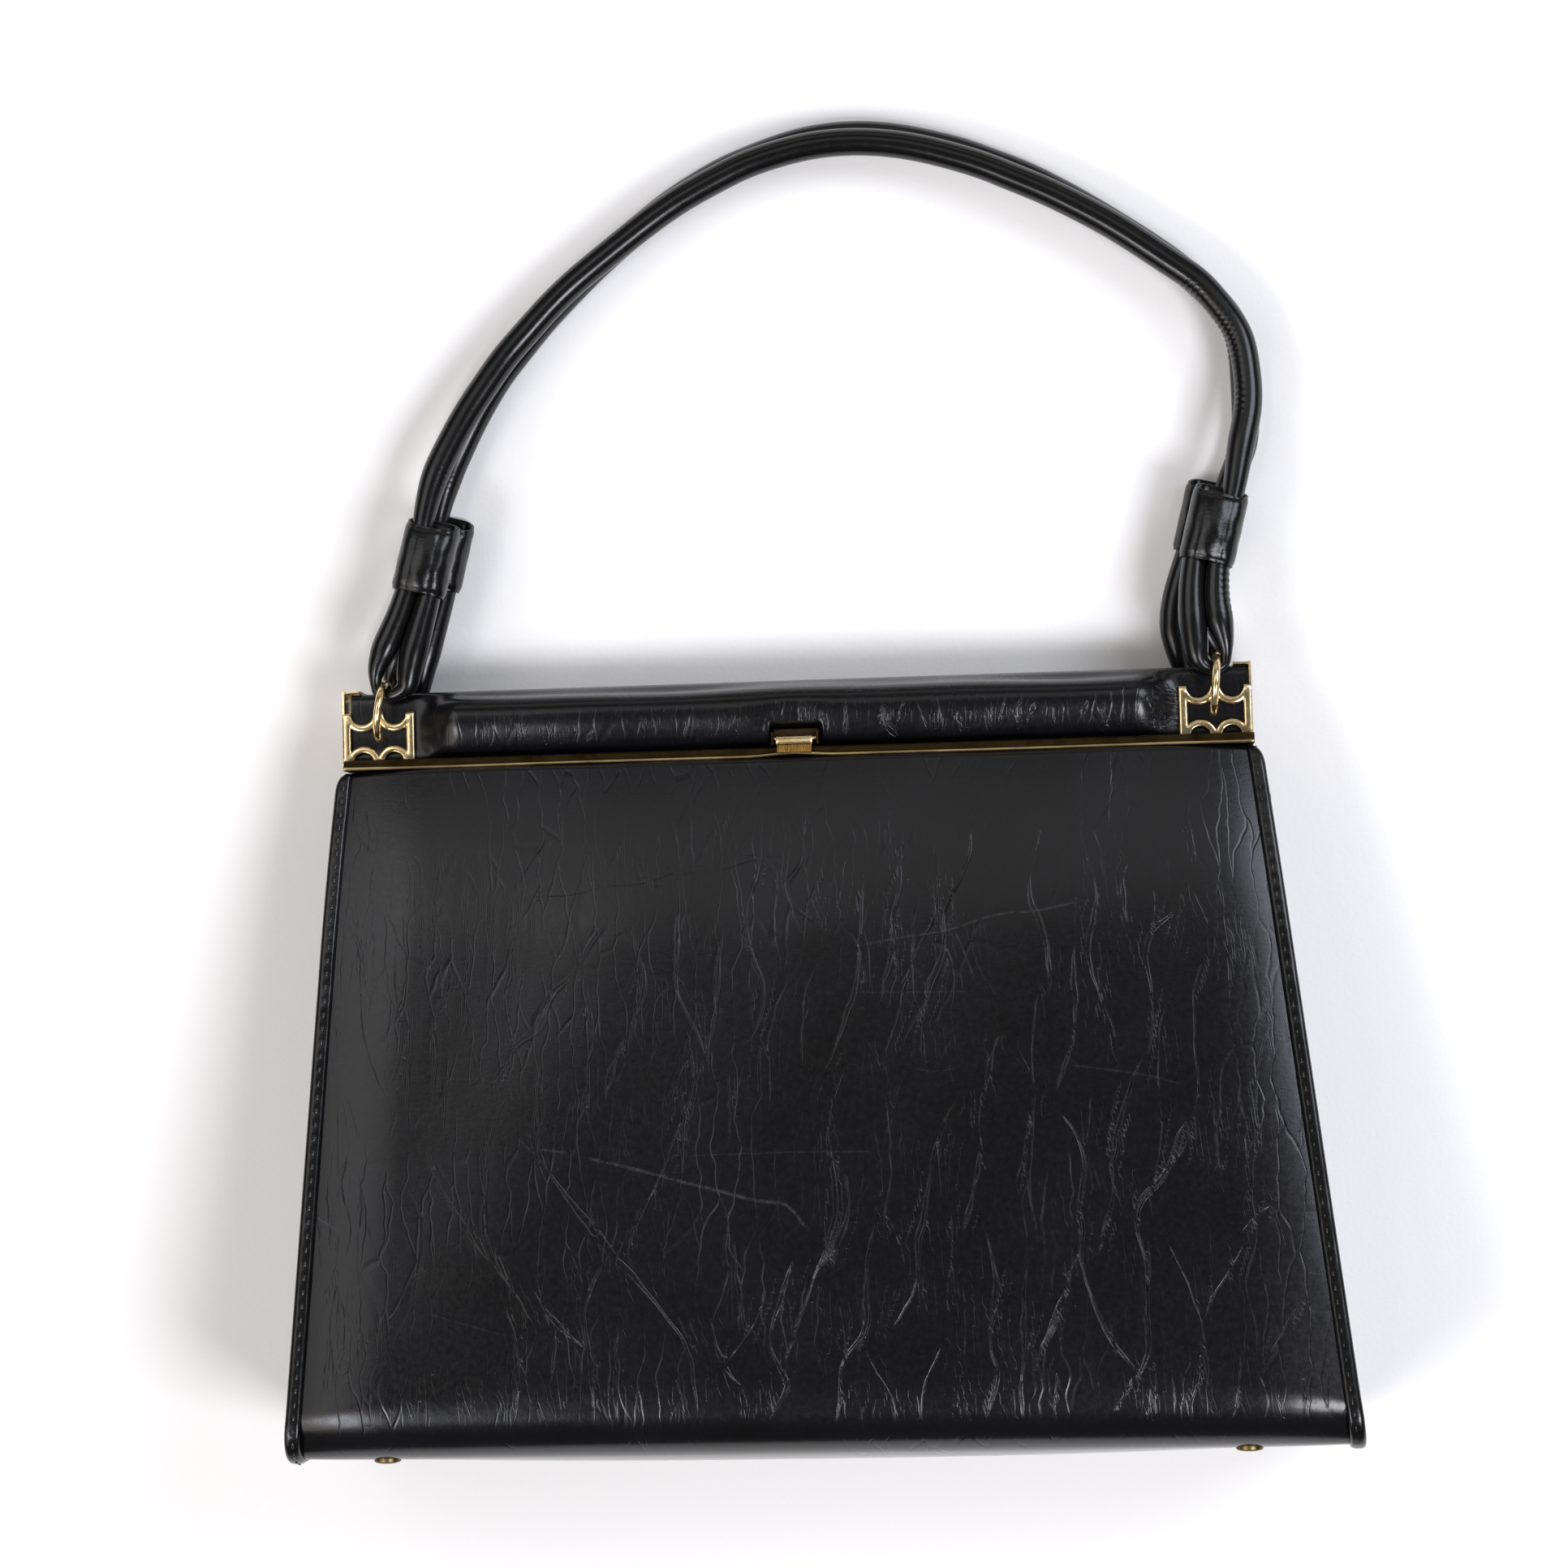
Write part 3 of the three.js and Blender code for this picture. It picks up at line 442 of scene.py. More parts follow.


# %% [markdown]
# ## Creases of the front panel
# Years of opening have left long creases, mostly from top to bottom, many of them double. They were read off
# as a pattern maker would trace them: how many lines run side by side, how deep they are, then the
# points (x, h) that they pass through. A crease is a narrow groove with a raised lip on each side.

# %% Crease lines
CREASES = [
    (1, 0.10, -132, 154, -128.5, 142, -128, 131, -126.7, 118, -125, 112, -120, 101),
    (1, 0.10, -117.5, 146, -117.5, 131, -116, 118, -116.7, 112, -119, 104),
    (2, 0.10, -115.8, 132, -113.3, 125, -113.3, 117, -114.6, 106, -114, 94),
    (1, 0.09, -112, 165, -112, 153, -110, 143, -109, 136),
    (1, 0.10, -105.6, 172, -106, 159, -107, 151, -105.8, 144),
    (1, 0.08, -98, 170, -99, 159, -100, 148),
    (1, 0.08, -94, 172, -93, 161, -92.7, 151),
    (1, 0.09, -96.7, 151, -96.7, 141, -97.5, 133),
    (1, 0.06, -87, 183, -86.7, 171),
    (1, 0.10, -89.6, 160, -89.6, 153, -90.4, 144, -91, 129),
    (1, 0.10, -84.6, 161, -84.6, 151, -84.8, 143, -83.6, 138, -84.2, 129, -86, 121),
    (1, 0.08, -78.6, 160, -78.3, 149, -78, 142),
    (1, 0.10, -73.3, 176, -76.7, 170, -81, 164, -84, 159),
    (1, 0.05, -88, 155, -79, 157, -66.7, 157.4, -58, 159.2, -45, 160.4,
     -38, 162.6, -26, 162.8, -18.7, 164.8, -8.7, 167, -2, 168),
    (1, 0.07, -60.4, 192, -60, 171, -58, 161),
    (1, 0.07, -52, 181, -51.7, 160, -50.8, 153),
    (2, 0.11, -101, 137, -103, 130, -106, 125, -106.7, 116, -106.8, 106, -107, 101),
    (3, 0.13, -55, 152, -61.7, 143, -68, 133.5, -73, 129, -77.5, 119, -82, 116, -86.7, 109, -92, 102),
    (2, 0.13, -54.6, 151, -50, 143, -46.3, 134, -47.5, 127, -50.4, 119, -51.7, 113),
    (2, 0.13, -63, 132, -61.7, 123, -61.3, 113),
    (2, 0.10, -78, 113, -77, 108, -77.5, 96, -77, 84),
    (3, 0.12, -51.7, 117, -55.8, 108, -58, 99),
    (2, 0.10, -63, 111, -63, 102, -65, 96),
    (1, 0.06, -134.6, 101, -134.2, 80, -134.2, 66),
    (1, 0.07, -133.8, 52, -135.8, 44, -137.5, 26, -138.8, 13),
    (1, 0.08, -103.8, 102, -103.8, 92),
    (2, 0.15, -93.3, 90, -91.7, 80, -92.5, 65, -90, 56, -84, 47, -79, 38, -76.7, 34),
    (1, 0.10, -90, 93, -91.3, 84, -91.5, 76),
    (2, 0.12, -110, 88.5, -106, 79, -101, 70, -96, 62, -90, 53.5),
    (1, 0.16, -115.4, 78, -111, 70, -110.8, 59, -111.7, 51, -114, 42),
    (1, 0.09, -106, 78, -109, 69),
    (2, 0.14, -86.7, 43, -84, 36, -83.3, 26, -83, 19, -84.5, 11),
    (2, 0.15, -79, 48, -73, 39, -66.7, 33, -62.5, 29),
    (3, 0.16, -86, 91, -77.5, 84, -70, 74, -62, 64, -54, 54, -46, 45.5, -41, 39, -36, 31, -34, 23, -33, 12),
    (1, 0.12, -70, 62, -66.7, 54, -64, 48),
    (2, 0.12, -58, 56, -62, 48, -63.8, 41, -63, 30, -62, 18, -62, 9),
    (2, 0.10, -46.7, 71, -50, 64, -51.7, 58),
    (2, 0.11, -55, 39, -55.8, 28, -55.4, 9),
    (1, 0.09, -73, 32, -73.8, 23),
    (1, 0.10, -72.5, 26, -71, 14),
    (1, 0.10, -77.5, 19, -75, 9),
    (1, 0.08, -117.5, 26, -118.8, 12),
    (1, 0.08, -109, 27, -109, 10),
    (1, 0.09, -100, 24, -96, 11),
    (2, 0.17, -37, 162, -36.6, 149, -37, 141, -37.4, 131, -34.5, 123, -31, 116, -28.7, 108),
    (2, 0.18, -24, 147, -25, 139, -25.8, 129, -27, 119, -28.7, 113, -28.7, 106),
    (2, 0.16, -13.3, 180, -13.3, 173, -13.7, 164, -17, 154,
     -17.4, 146, -15, 138, -12.8, 130, -13.3, 123, -17, 115),
    (1, 0.18, -5.8, 132, -8, 126, -11.3, 116, -11.2, 105, -11.6, 97),
    (1, 0.16, 1.3, 134, -1.2, 127, -2, 119, -2.2, 107),
    (2, 0.13, -0.3, 182, -1.2, 169, -2.8, 163, -6.2, 158, -5.3, 154, 1.3, 148, 4.7, 143),
    (1, 0.12, -5.3, 153, -8.7, 146, -11.2, 142),
    (1, 0.15, 13, 172, 10.5, 163, 9.7, 156, 6.3, 147),
    (1, 0.10, 3, 164, 2.2, 156, 1.3, 152),
    (2, 0.22, 16, 160, 15, 149, 14.3, 139, 13, 129, 10.5, 121, 6.3, 111, 3.8, 106),
    (2, 0.16, 10, 108.5, 7.6, 102, 5.5, 96, 4.7, 91, 5, 82,
     6.3, 73, 4.7, 61, 1.3, 52, -2.8, 42, -7, 31, -9.5, 22),
    (2, 0.20, 24.3, 172, 26, 161, 25.5, 156, 23.8, 148, 23.4, 139, 21.3, 130, 18.8, 123),
    (1, 0.14, 30, 172, 26.3, 163),
    (1, 0.24, 31.3, 158, 36, 151, 33, 143, 30, 138, 27, 129, 23.8, 118, 20.5, 109),
    (2, 0.22, 46.8, 175, 45, 163, 40.5, 154, 38.4, 148, 38, 139, 34.7, 130, 32, 123, 28, 117, 26, 113),
    (1, 0.10, 36.8, 165, 36.3, 151),
    (1, 0.13, 40.5, 145, 43.8, 138, 46.3, 130),
    (1, 0.10, -16, 115, -12, 111),
    (1, 0.10, 32, 121, 31.3, 109, 33, 105),
    (1, 0.14, -36, 115, -32.8, 106, -34.5, 97, -38.3, 88, -42, 79, -47, 69, -50.3, 61),
    (1, 0.12, -22.8, 106, -22.8, 88),
    (2, 0.12, 8, 80, 10, 68, 6.3, 58, 2, 51),
    (1, 0.20, 20.5, 98, 21.8, 88, 22, 78, 20.5, 68, 19.7, 62),
    (1, 0.14, 21, 65, 24.7, 55, 25.5, 51),
    (2, 0.24, 40, 97, 35.5, 87, 33, 78, 30.5, 65, 28.8, 56, 28.8, 51, 25.5, 41, 20.5, 34),
    (1, 0.12, 28.8, 51, 31.3, 38),
    (1, 0.18, 38, 69, 38, 54, 36.8, 44, 37, 37),
    (2, 0.20, 46.8, 84, 43.8, 69, 41.3, 60),
    (1, 0.14, 44.7, 98, 44.5, 91),
    (1, 0.14, 48.4, 101, 46.8, 86, 48.5, 80),
    (2, 0.28, 47.6, 61, 49.7, 51, 49.3, 39, 48.4, 28, 49.7, 24, 48.8, 18, 46, 9),
    (2, 0.26, 16.8, 65, 15.5, 56, 14.3, 47, 13.4, 34, 8, 27, 6.3, 17, 4.7, 8),
    (1, 0.16, 13, 30, 17, 23, 21.3, 15, 21.3, 7),
    (1, 0.18, 35.5, 31, 31.3, 23, 29.3, 18, 29.3, 8),
    (2, 0.20, -4.5, 56, -7.8, 48, -11.2, 38, -12, 29, -8.7, 23, -8, 21, -12, 13, -14, 9),
    (2, 0.14, -22.4, 60, -21.6, 51, -20.8, 43, -20, 34),
    (1, 0.12, -12.8, 48, -18, 35, -23.7, 28, -25.3, 26),
    (2, 0.14, -29.5, 39, -27, 30, -24.5, 24, -19, 19),
    (1, 0.12, -35, 39, -32.4, 32),
    (1, 0.10, 37.6, 28, 38.8, 18, 40, 9),
    (1, 0.12, 6.3, 43, 8, 33, 7.6, 26),
    (1, 0.12, 41, 48, 41.3, 34, 41, 26),
    (2, 0.14, 67, 175, 63.8, 163, 63, 151, 65, 146, 66.7, 139, 67, 133, 67, 121),
    (2, 0.16, 78.3, 165, 80.8, 156, 80, 146, 78.3, 138, 79, 132, 82.5, 121, 86, 110),
    (2, 0.14, 90.4, 163, 88.3, 153, 90.4, 143),
    (2, 0.16, 106, 159, 102.5, 148, 96, 142, 95, 129, 95.4, 117, 93.3, 107),
    (1, 0.12, 97, 155, 97, 148, 95.4, 142),
    (2, 0.18, 74.6, 143, 74, 129, 73.8, 116, 71.7, 108, 67.5, 98),
    (1, 0.22, 64, 126, 62.5, 119, 62, 108, 61.3, 100),
    (1, 0.12, 108, 154, 111.7, 144),
    (1, 0.22, 110, 134, 107.5, 128, 106.7, 119, 106.8, 108, 107, 96, 105, 91),
    (1, 0.08, 116, 156, 117, 138, 116.7, 116),
    (1, 0.08, 120.8, 146, 121.7, 134),
    (2, 0.26, 93, 109, 90.4, 104, 89, 100, 87, 95, 84.6, 87, 83.3, 78, 82.5, 68, 78.3, 57),
    (1, 0.14, 100, 123, 97.5, 115, 97, 95, 96.7, 85, 95.4, 79, 93.3, 73),
    (1, 0.18, 120, 113, 116, 108, 113.8, 103, 113.5, 95, 112.5, 90, 112.5, 79, 113.3, 73),
    (1, 0.16, 129, 119, 125, 109, 123.8, 103, 123, 95, 122.9, 88, 121.7, 77,
     121.7, 64, 121.3, 55, 118.8, 49, 119, 41, 120.8, 33, 120.4, 23),
    (2, 0.14, 53.3, 115, 50, 107, 48.3, 96),
    (2, 0.16, 62.9, 101, 60.8, 86, 60, 73, 60.8, 65, 62.5, 56),
    (1, 0.12, 60.8, 96, 59, 84, 56, 73),
    (2, 0.28, 67.5, 95, 74, 85, 75.4, 78, 74, 68, 73.8, 58, 74, 51, 76.3, 43, 80, 33, 86, 25, 91, 18),
    (1, 0.12, 78, 98, 76.3, 84),
    (2, 0.24, 72, 54, 69, 44, 65, 35, 61.3, 28),
    (1, 0.16, 70, 43, 66, 34, 63, 27, 62.5, 18),
    (2, 0.30, 105, 91, 100.8, 85, 99, 79, 94, 72, 90, 67, 89.2, 63,
     90.8, 54, 91.3, 43, 91.3, 33, 90.8, 26, 88, 21, 82, 13),
    (1, 0.18, 105, 88, 102.5, 82, 98, 76),
    (1, 0.12, 106.3, 93, 106.5, 79),
    (1, 0.22, 96.7, 58, 102.5, 46, 105, 38, 106.7, 30, 107, 21, 106.7, 8),
    (1, 0.16, 92.5, 56, 92, 43),
    (1, 0.22, 118, 56, 113.3, 48, 110, 43, 107, 36),
    (1, 0.12, 120.4, 72, 118.8, 67),
    (1, 0.28, 105.8, 30, 104.6, 20, 102.5, 13, 103.3, 7),
    (1, 0.20, 116.3, 26, 115, 16, 113, 8),
    (1, 0.16, 120, 23, 123, 14, 121.7, 8),
    (1, 0.14, 133, 20, 133, 7),
    (1, 0.14, 140, 22, 139, 8),
    (1, 0.26, 66.3, 23, 65.4, 17, 65.4, 8),
    (2, 0.26, 58.8, 53, 57.5, 39, 57.5, 29, 56.3, 18, 56.7, 8),
    (1, 0.20, 91.7, 17, 90, 8),
    (1, 0.18, 93.3, 22, 92.5, 10),
    (1, 0.16, 97, 22, 98.3, 10),
    (2, 0.18, 87, 21, 81, 11),
    (1, 0.12, 125, 18, 127, 8),
    (1, 0.12, 132.5, 41, 127.5, 32, 124, 26),
    (1, 0.12, 126.7, 67, 122.5, 64, 117.5, 59),
    (1, 0.12, 82.5, 64, 78.3, 54),
]
SCUFFS = [
    (1.0, 0.55, -76, 86, -69, 85),
    (1.2, 0.8, -64, 83.6, -45, 78.7, -37, 76.4, -23.7, 72.8, -12.8, 70.2, -7, 69, -3.7, 65.2, -0.7, 61.8),
    (0.8, 0.4, 13, 147.6, 23, 149),
    (0.9, 0.45, 15.5, 141, 31, 143.4, 40.5, 144.8, 53, 148.4, 62, 149, 72, 150.6, 78, 151.8),
    (0.8, 0.3, 72, 106, 85, 104.2, 97, 101.8, 102.5, 100.2),
    (0.7, 0.5, -141, 69, -134, 64.6),
    (0.7, 0.3, -107, 41, -97, 38, -86, 35),
    (0.5, 0.4, -35.3, 83.4, -18, 83.6, 0, 83.7, 17.2, 83.5),
    (0.5, 0.25, 1.3, 127.7, 47.2, 127.2),
    (0.6, 0.3, 29.7, 106, 35, 105.2, 40.5, 106),
]


def near_line(x, h, path, reach):
    """Signed distance of points to the nearest piece of a path, and the share of the path at that place."""
    start, span = path[:-1], np.diff(path, axis=0)
    box = (x > path[:, 0].min() - reach) & (x < path[:, 0].max() + reach)
    box &= (h > path[:, 1].min() - reach) & (h < path[:, 1].max() + reach)
    spot = np.nonzero(box)
    rel = np.stack([x[spot], h[spot]], -1)[:, None] - start
    share = np.clip((rel * span).sum(-1) / (span**2).sum(-1), 0, 1)
    off = rel - share[..., None] * span
    far = np.linalg.norm(off, axis=-1)
    best = far.argmin(1)
    pick = np.arange(len(best))
    side = np.sign(span[best, 0] * rel[pick, best, 1] - span[best, 1] * rel[pick, best, 0])
    along = (best + share[pick, best]) / len(span)
    return spot, far[pick, best] * side, along


HALF_GAP = (0, 0.6, 0.9)  # of one, two and three lines; three are drawn as a wide pair
NOWHERE = 999  # a height that no crease reaches


def crease_fields(x, h, creases, rng):
    """At each point: distance to the crease that rules there, its depth, half its double gap, a valley."""
    off, cut, twin, soft = (np.zeros_like(x) for _ in range(4))
    rule = np.full_like(x, 9.0)
    for lines, depth, *flat in creases:
        corners = np.array(flat, float).reshape(-1, 2)
        count = max(6, int(np.linalg.norm(np.diff(corners, axis=0), axis=1).sum() / 1.4))
        path = spline(corners, count)
        path[:, 0] += np.convolve(rng.normal(0, 0.25, count + 2), np.ones(3) / 3, "valid")
        spot, s, along = near_line(x, h, path, 3.4)
        fade = np.clip(7 * along * (1 - along) + 0.1, 0, 1) * (0.75 + 0.25 * np.sin(19 * along + depth * 90))
        swing = 0.75 + 0.45 * np.sin(11 * along + 60 * depth)
        gap = HALF_GAP[int(lines) - 1] * np.clip(4.5 * along * (1 - along), 0, 1) * swing
        claim = np.abs(s) / (0.35 + 3 * depth)
        wins = claim < rule[spot]
        take = tuple(axis[wins] for axis in spot)
        rule[take] = claim[wins]
        off[take] = s[wins]
        twin[take] = gap[wins]
        cut[take] = (depth / 0.28 * fade * (1 - ease(np.abs(s), 2.0, 3.1)) * np.where(s > 0, 1, 0.6))[wins]
        soft[spot] = np.minimum(soft[spot], -0.25 * depth * fade * bell(s, 1.2 + gap))
    return off, np.clip(cut, 0, 1), twin, soft


def small_creases(rng, count, x_range, h_range, length, depth):
    """Seeded short creases that run mostly upwards."""
    x = rng.uniform(*x_range, count)
    h = rng.uniform(*h_range, count)
    size = rng.uniform(*length, count)
    slant = rng.normal(0, 0.22, count)
    bow = rng.normal(0, 0.06, count) * size
    deep = rng.uniform(*depth, count)
    halfway = (x + slant * size / 2 + bow, h - size / 2)
    rows = np.stack([np.ones(count), deep, x, h, *halfway, x + slant * size, h - size], -1)
    return [tuple(row) for row in rows]


print("traced creases:", len(CREASES), "scuffs:", len(SCUFFS))

# %% [markdown]
# ## The wrap: front panel, base and back panel
# One sheet of leather makes the front, the base and the back. At the corners its bend is tight and the base
# is flat; between them the soft base bulges, so the bend opens into a wide arc. The two side views share
# their row numbers, and each column is a mix of both. The sheet dips to a seam at each side edge. The inner
# face can be coarse because nobody sees it.

# %% Wrap
PANEL_TOP = 195.2
OPEN_TURNS = [(6, -6, 50), (-6, -50, 14), (-50, -73, 20)]
SAG_H = -4.3
FRONT_ROWS, BEND, BASE, BACK, BACK_ROWS, COLUMNS = 122, 20, 22, 20, 26, 440
FRONT_END = FRONT_ROWS - 1  # the row where the front panel turns into its bend
MIDDLE_ROW = FRONT_END + BEND + BASE // 2
BACK_START = FRONT_END + BEND + BASE + BACK  # the row where the back panel starts


def bulged_half():
    """Arcs from the panel's lean to the middle of the base: each step is R * (change of cos a, sin a)."""
    angles = [np.linspace(a, b, n) for (a, b, _), n in zip(OPEN_TURNS, (7, 9, 7))]
    angles.append(np.linspace(OPEN_TURNS[-1][1], -90, BASE // 2 + 1))
    arcs = [np.diff(np.stack([np.cos(np.radians(a)), np.sin(np.radians(a))], -1), axis=0) for a in angles]
    fixed = [steps * r for steps, (_, _, r) in zip(arcs, OPEN_TURNS)]
    drop = sum(part.sum(0) for part in fixed)
    last = arcs[-1].sum(0)
    lean = math.tan(LEAN)
    radius = (BASE_HALF_DEPTH + drop[0] - lean * (SAG_H - drop[1])) / (-last[0] - lean * last[1])
    steps = np.concatenate(fixed + [arcs[-1] * radius])
    start = np.array([0, SAG_H]) - steps.sum(0)
    return np.concatenate([start[None], start + np.cumsum(steps, axis=0)])


def bulged_profile(front_rows, back_rows):
    """Straight front panel, the half with the open bend, its mirror image, and the back panel."""
    half = bulged_half()
    front_h = np.linspace(PANEL_TOP, half[0, 1], front_rows)
    back_h = np.linspace(half[0, 1], PANEL_TOP, back_rows)[1:]
    front = np.stack([panel_depth(front_h), front_h], -1)
    back = np.stack([-panel_depth(back_h), back_h], -1)
    return np.concatenate([front, half[1:], half[-2::-1] * (-1, 1), back])


rng = np.random.default_rng(7)
front_h = np.linspace(PANEL_TOP, BEND_TOP, FRONT_ROWS)
back_h = np.linspace(BEND_TOP, PANEL_TOP, BACK_ROWS)[1:]
tight = side_profile(front_h, BEND, BASE, BACK, back_h)
open_ = bulged_profile(FRONT_ROWS, BACK_ROWS)
print("rows:", len(tight), len(open_), "middle of the base at", np.round(open_[MIDDLE_ROW], 2))
t = np.linspace(-1, 1, COLUMNS)[None, :]
mix = np.clip(1 - np.abs(t) ** 3, 0, 1)[..., None]
side_view = tight[:, None] + (open_ - tight)[:, None] * mix
along = unit(np.gradient(side_view, axis=0))
d0, h0 = side_view[..., 0], side_view[..., 1]
nd, nh = -along[..., 1], along[..., 0]
across = sideways(h0) + t * (half_width(h0) - EDGE_WIDTH + 0.4)
from_seam = (1 - np.abs(t)) * (half_width(h0) - EDGE_WIDTH)
length = np.linalg.norm(np.diff(open_, axis=0), axis=1).sum()
print(f"wrap laid flat: {length:.0f} mm long, {np.ptp(across[0]):.0f} mm wide at its ends, "
      f"{np.ptp(across[MIDDLE_ROW]):.0f} mm at the base")
# These masks go by row number: under the bag, on the front with the start of its bend, and on the back.
row = np.arange(len(side_view))[:, None] * np.ones_like(t)
under = ease(row, FRONT_END + 7, FRONT_END + 19) * (1 - ease(row, BACK_START - 18, BACK_START - 6))
inset = (2.6 - 2.2 * under) * np.clip(1 - from_seam / 24, 0, 1) ** 2
on_front = 1 - ease(row, FRONT_END + 10, FRONT_END + 16)
on_back = ease(row, BACK_START - 9, BACK_START - 1)
front_only = np.where(on_front > 0.01, h0, NOWHERE)

fine = small_creases(rng, 230, (-138, 140), (30, 185), (6, 22), (0.03, 0.08))
foot = small_creases(rng, 45, (-140, -20), (20, 28), (6, 13), (0.02, 0.06))
foot += small_creases(rng, 35, (-20, 142), (16, 24), (6, 12), (0.02, 0.06))
off, cut, twin, soft = crease_fields(across, front_only, CREASES + fine + foot, rng)
loose = small_creases(rng, 150, (-135, 135), (20, 185), (15, 60), (0.05, 0.16))
back_fields = crease_fields(across, np.where(on_back > 0.01, h0, NOWHERE), loose, rng)
off, cut, twin = (np.where(on_back > 0.01, b, a) for a, b in zip((off, cut, twin), back_fields))
# The front is a little stuffed: a low crown and slow waves, fading out towards the bend.
puff = 0.8 * np.sin(np.pi * np.clip((h0 - 16) / 150, 0, 1)) * (1 - t**2) ** 0.7
wave = 0.16 * np.sin(across / 17 + 0.4) * np.sin(h0 / 31) + 0.10 * np.sin(across / 9.5 - h0 / 23 + 1.1)
lift = on_front * (soft + puff + wave * ease(h0, 18, 50)) + on_back * back_fields[3] - inset
outer = lay(across, d0 + nd * lift, h0 + nh * lift)
inner = lay(across, d0 - nd * (inset + 2), h0 - nh * (inset + 2))

streak, rub = np.zeros_like(across), np.zeros_like(across)
for wide, strength, *places in SCUFFS:
    path = spline(np.array(places, float).reshape(-1, 2), 40)
    spot, s, run = near_line(across, front_only, path, 4)
    streak[spot] = s / wide
    rub[spot] = strength * ease(np.minimum(run, 1 - run), 0, 0.06) * (1 - ease(np.abs(s), 2.5, 3.8))
sleek = ease(row, FRONT_END + 9, FRONT_END + 17) * (1 - on_back)
marks = {"off": off, "cut": cut, "twin": twin, "streak": streak, "rub": rub, "sleek": sleek}
shell = sheet_skin(outer, inner, 12, 20)
put("body_wrap_leather", shell, PANEL, ["body_wrap"], marks=marks)

# %% [markdown]
# ## Side edges and their stitches
# Where the wrap meets the side gusset, the edge is turned and stitched into a firm welt. A superellipse
# gives its section: flatter than a circle, rounder than a box. Each stitch pulls the leather down a little,
# and the thread lies in those dips: proud on the left edge, where it glints, and drawn in on the right one.
# One small capsule is copied along the edge by multiplying its points with the frame of each stitch.

# %% Edge welts
SIDES = {"left": -1, "right": 1}
WELT_TOP = 194.9
STITCH_PITCH, STITCH_LONG, STITCH_ROW = 3.9, 2.5, 0.58
STITCH_RADIUS = {-1: 0.44, 1: 0.3}
STITCH_SUNK = {-1: 0.12, 1: 0.36}


def edge_path(count):
    """The side profile at even steps of its length: points (d, h), outward normals and length along it."""
    up = np.linspace(BEND_TOP, WELT_TOP, 200)[1:]
    line = side_profile(np.linspace(WELT_TOP, BEND_TOP, 200), 30, 40, 30, up)
    run = np.concatenate([[0], np.cumsum(np.linalg.norm(np.diff(line, axis=0), axis=1))])
    even = np.linspace(0, run[-1], count)
    line = np.stack([np.interp(even, run, line[:, 0]), np.interp(even, run, line[:, 1])], -1)
    along = unit(np.gradient(line, axis=0))
    return line, np.stack([-along[:, 1], along[:, 0]], -1), even


def edge_inset(h):
    """The welt sits below the panel's face on the sides, and comes out to it round the base."""
    return EDGE_INSET - 2.2 * (1 - ease(h, 2, 14))


def edge_welt(sign, steps=480, sides=26):
    """Superellipse section along the side profile, dipped at every stitch and rounded off at the top."""
    line, out, run = edge_path(steps)
    d, h = line[:, :1], line[:, 1:]
    a = turn(sides)[None, :]
    rise = np.clip((h - WELT_TOP + 5) / 5, 0, 1)
    far = half_width(h) - 2.5 * (1 - np.sqrt(1 - rise**2 * 0.999))
    near = half_width(h) - EDGE_WIDTH
    square = np.sign(np.cos(a)) * np.abs(np.cos(a)) ** 0.75
    tall = np.sign(np.sin(a)) * np.abs(np.sin(a)) ** 0.75
    x = near + (far - near) * (0.5 + 0.5 * square)
    top = np.clip(tall, 0, 1)
    row = bell(0.5 + 0.5 * square - 0.42, 0.16)
    pull = 0.30 * row * top * (0.55 + 0.45 * np.cos(2 * np.pi * run[:, None] / STITCH_PITCH))
    lumps = 0.10 * np.sin(run[:, None] / 3.3 + 2 * np.sin(run[:, None] / 11)) * top
    rise_by = -edge_inset(h) + (EDGE_THICK / 2) * tall - pull + lumps
    return lay(sideways(h) + sign * x, d + out[:, :1] * rise_by, h + out[:, 1:] * rise_by)


def stitch_row(sign):
    """A capsule copied to every stitch: its long axis along the edge, its middle just above the dip."""
    line, out, run = edge_path(2400)
    spots = np.arange(4.2, run[-1] - 4, STITCH_PITCH)
    pick = np.searchsorted(run, spots)
    d, h = line[pick, 0], line[pick, 1]
    n = out[pick]

    def row_x(h):
        return sideways(h) + sign * (half_width(h) - EDGE_WIDTH * STITCH_ROW)

    x = row_x(h)
    up = EDGE_THICK / 2 - edge_inset(h) - STITCH_SUNK[sign]
    centre = lay(x, d + n[:, 0] * up, h + n[:, 1] * up)
    ahead = np.minimum(pick + 8, len(line) - 1)
    behind = np.maximum(pick - 8, 0)
    tip = [lay(row_x(line[k, 1]), *line[k].T) for k in (ahead, behind)]
    along = unit(tip[0] - tip[1])
    lifted = unit(lay(x, d + n[:, 0], h + n[:, 1]) - lay(x, d, h))
    wide = np.cross(along, lifted)
    rings, sides = 7, 8
    v = np.linspace(-1, 1, rings)[:, None]
    a = turn(sides)[None, :]
    radius = STITCH_RADIUS[sign] * np.sqrt(np.clip(1 - np.abs(v) ** 3, 0.06, 1))
    capsule = (v * STITCH_LONG / 2, radius * np.cos(a), radius * np.sin(a) - 0.28 * v**2)
    local = np.stack(np.broadcast_arrays(*capsule), -1)
    basis = np.stack([along, wide, lifted], 1)
    points = centre[:, None, None] + np.einsum("rsk,nkj->nrsj", local, basis)
    return merge([tube_skin(one) for one in points])


for side, sign in SIDES.items():
    put(f"edge_{side}_welt", tube_skin(edge_welt(sign)), TRIM, [f"edge_{side}"])
    put(f"edge_{side}_stitches", stitch_row(sign), THREAD)

# %% [markdown]
# ## Gussets
# The side gussets are soft sheets that fold inwards when the frame is shut. The fold is deepest at half
# height: a sine in height times a squared cosine across.


# %% Gussets
GUSSET_WALL, FOLD_DEPTH = 1.6, 9


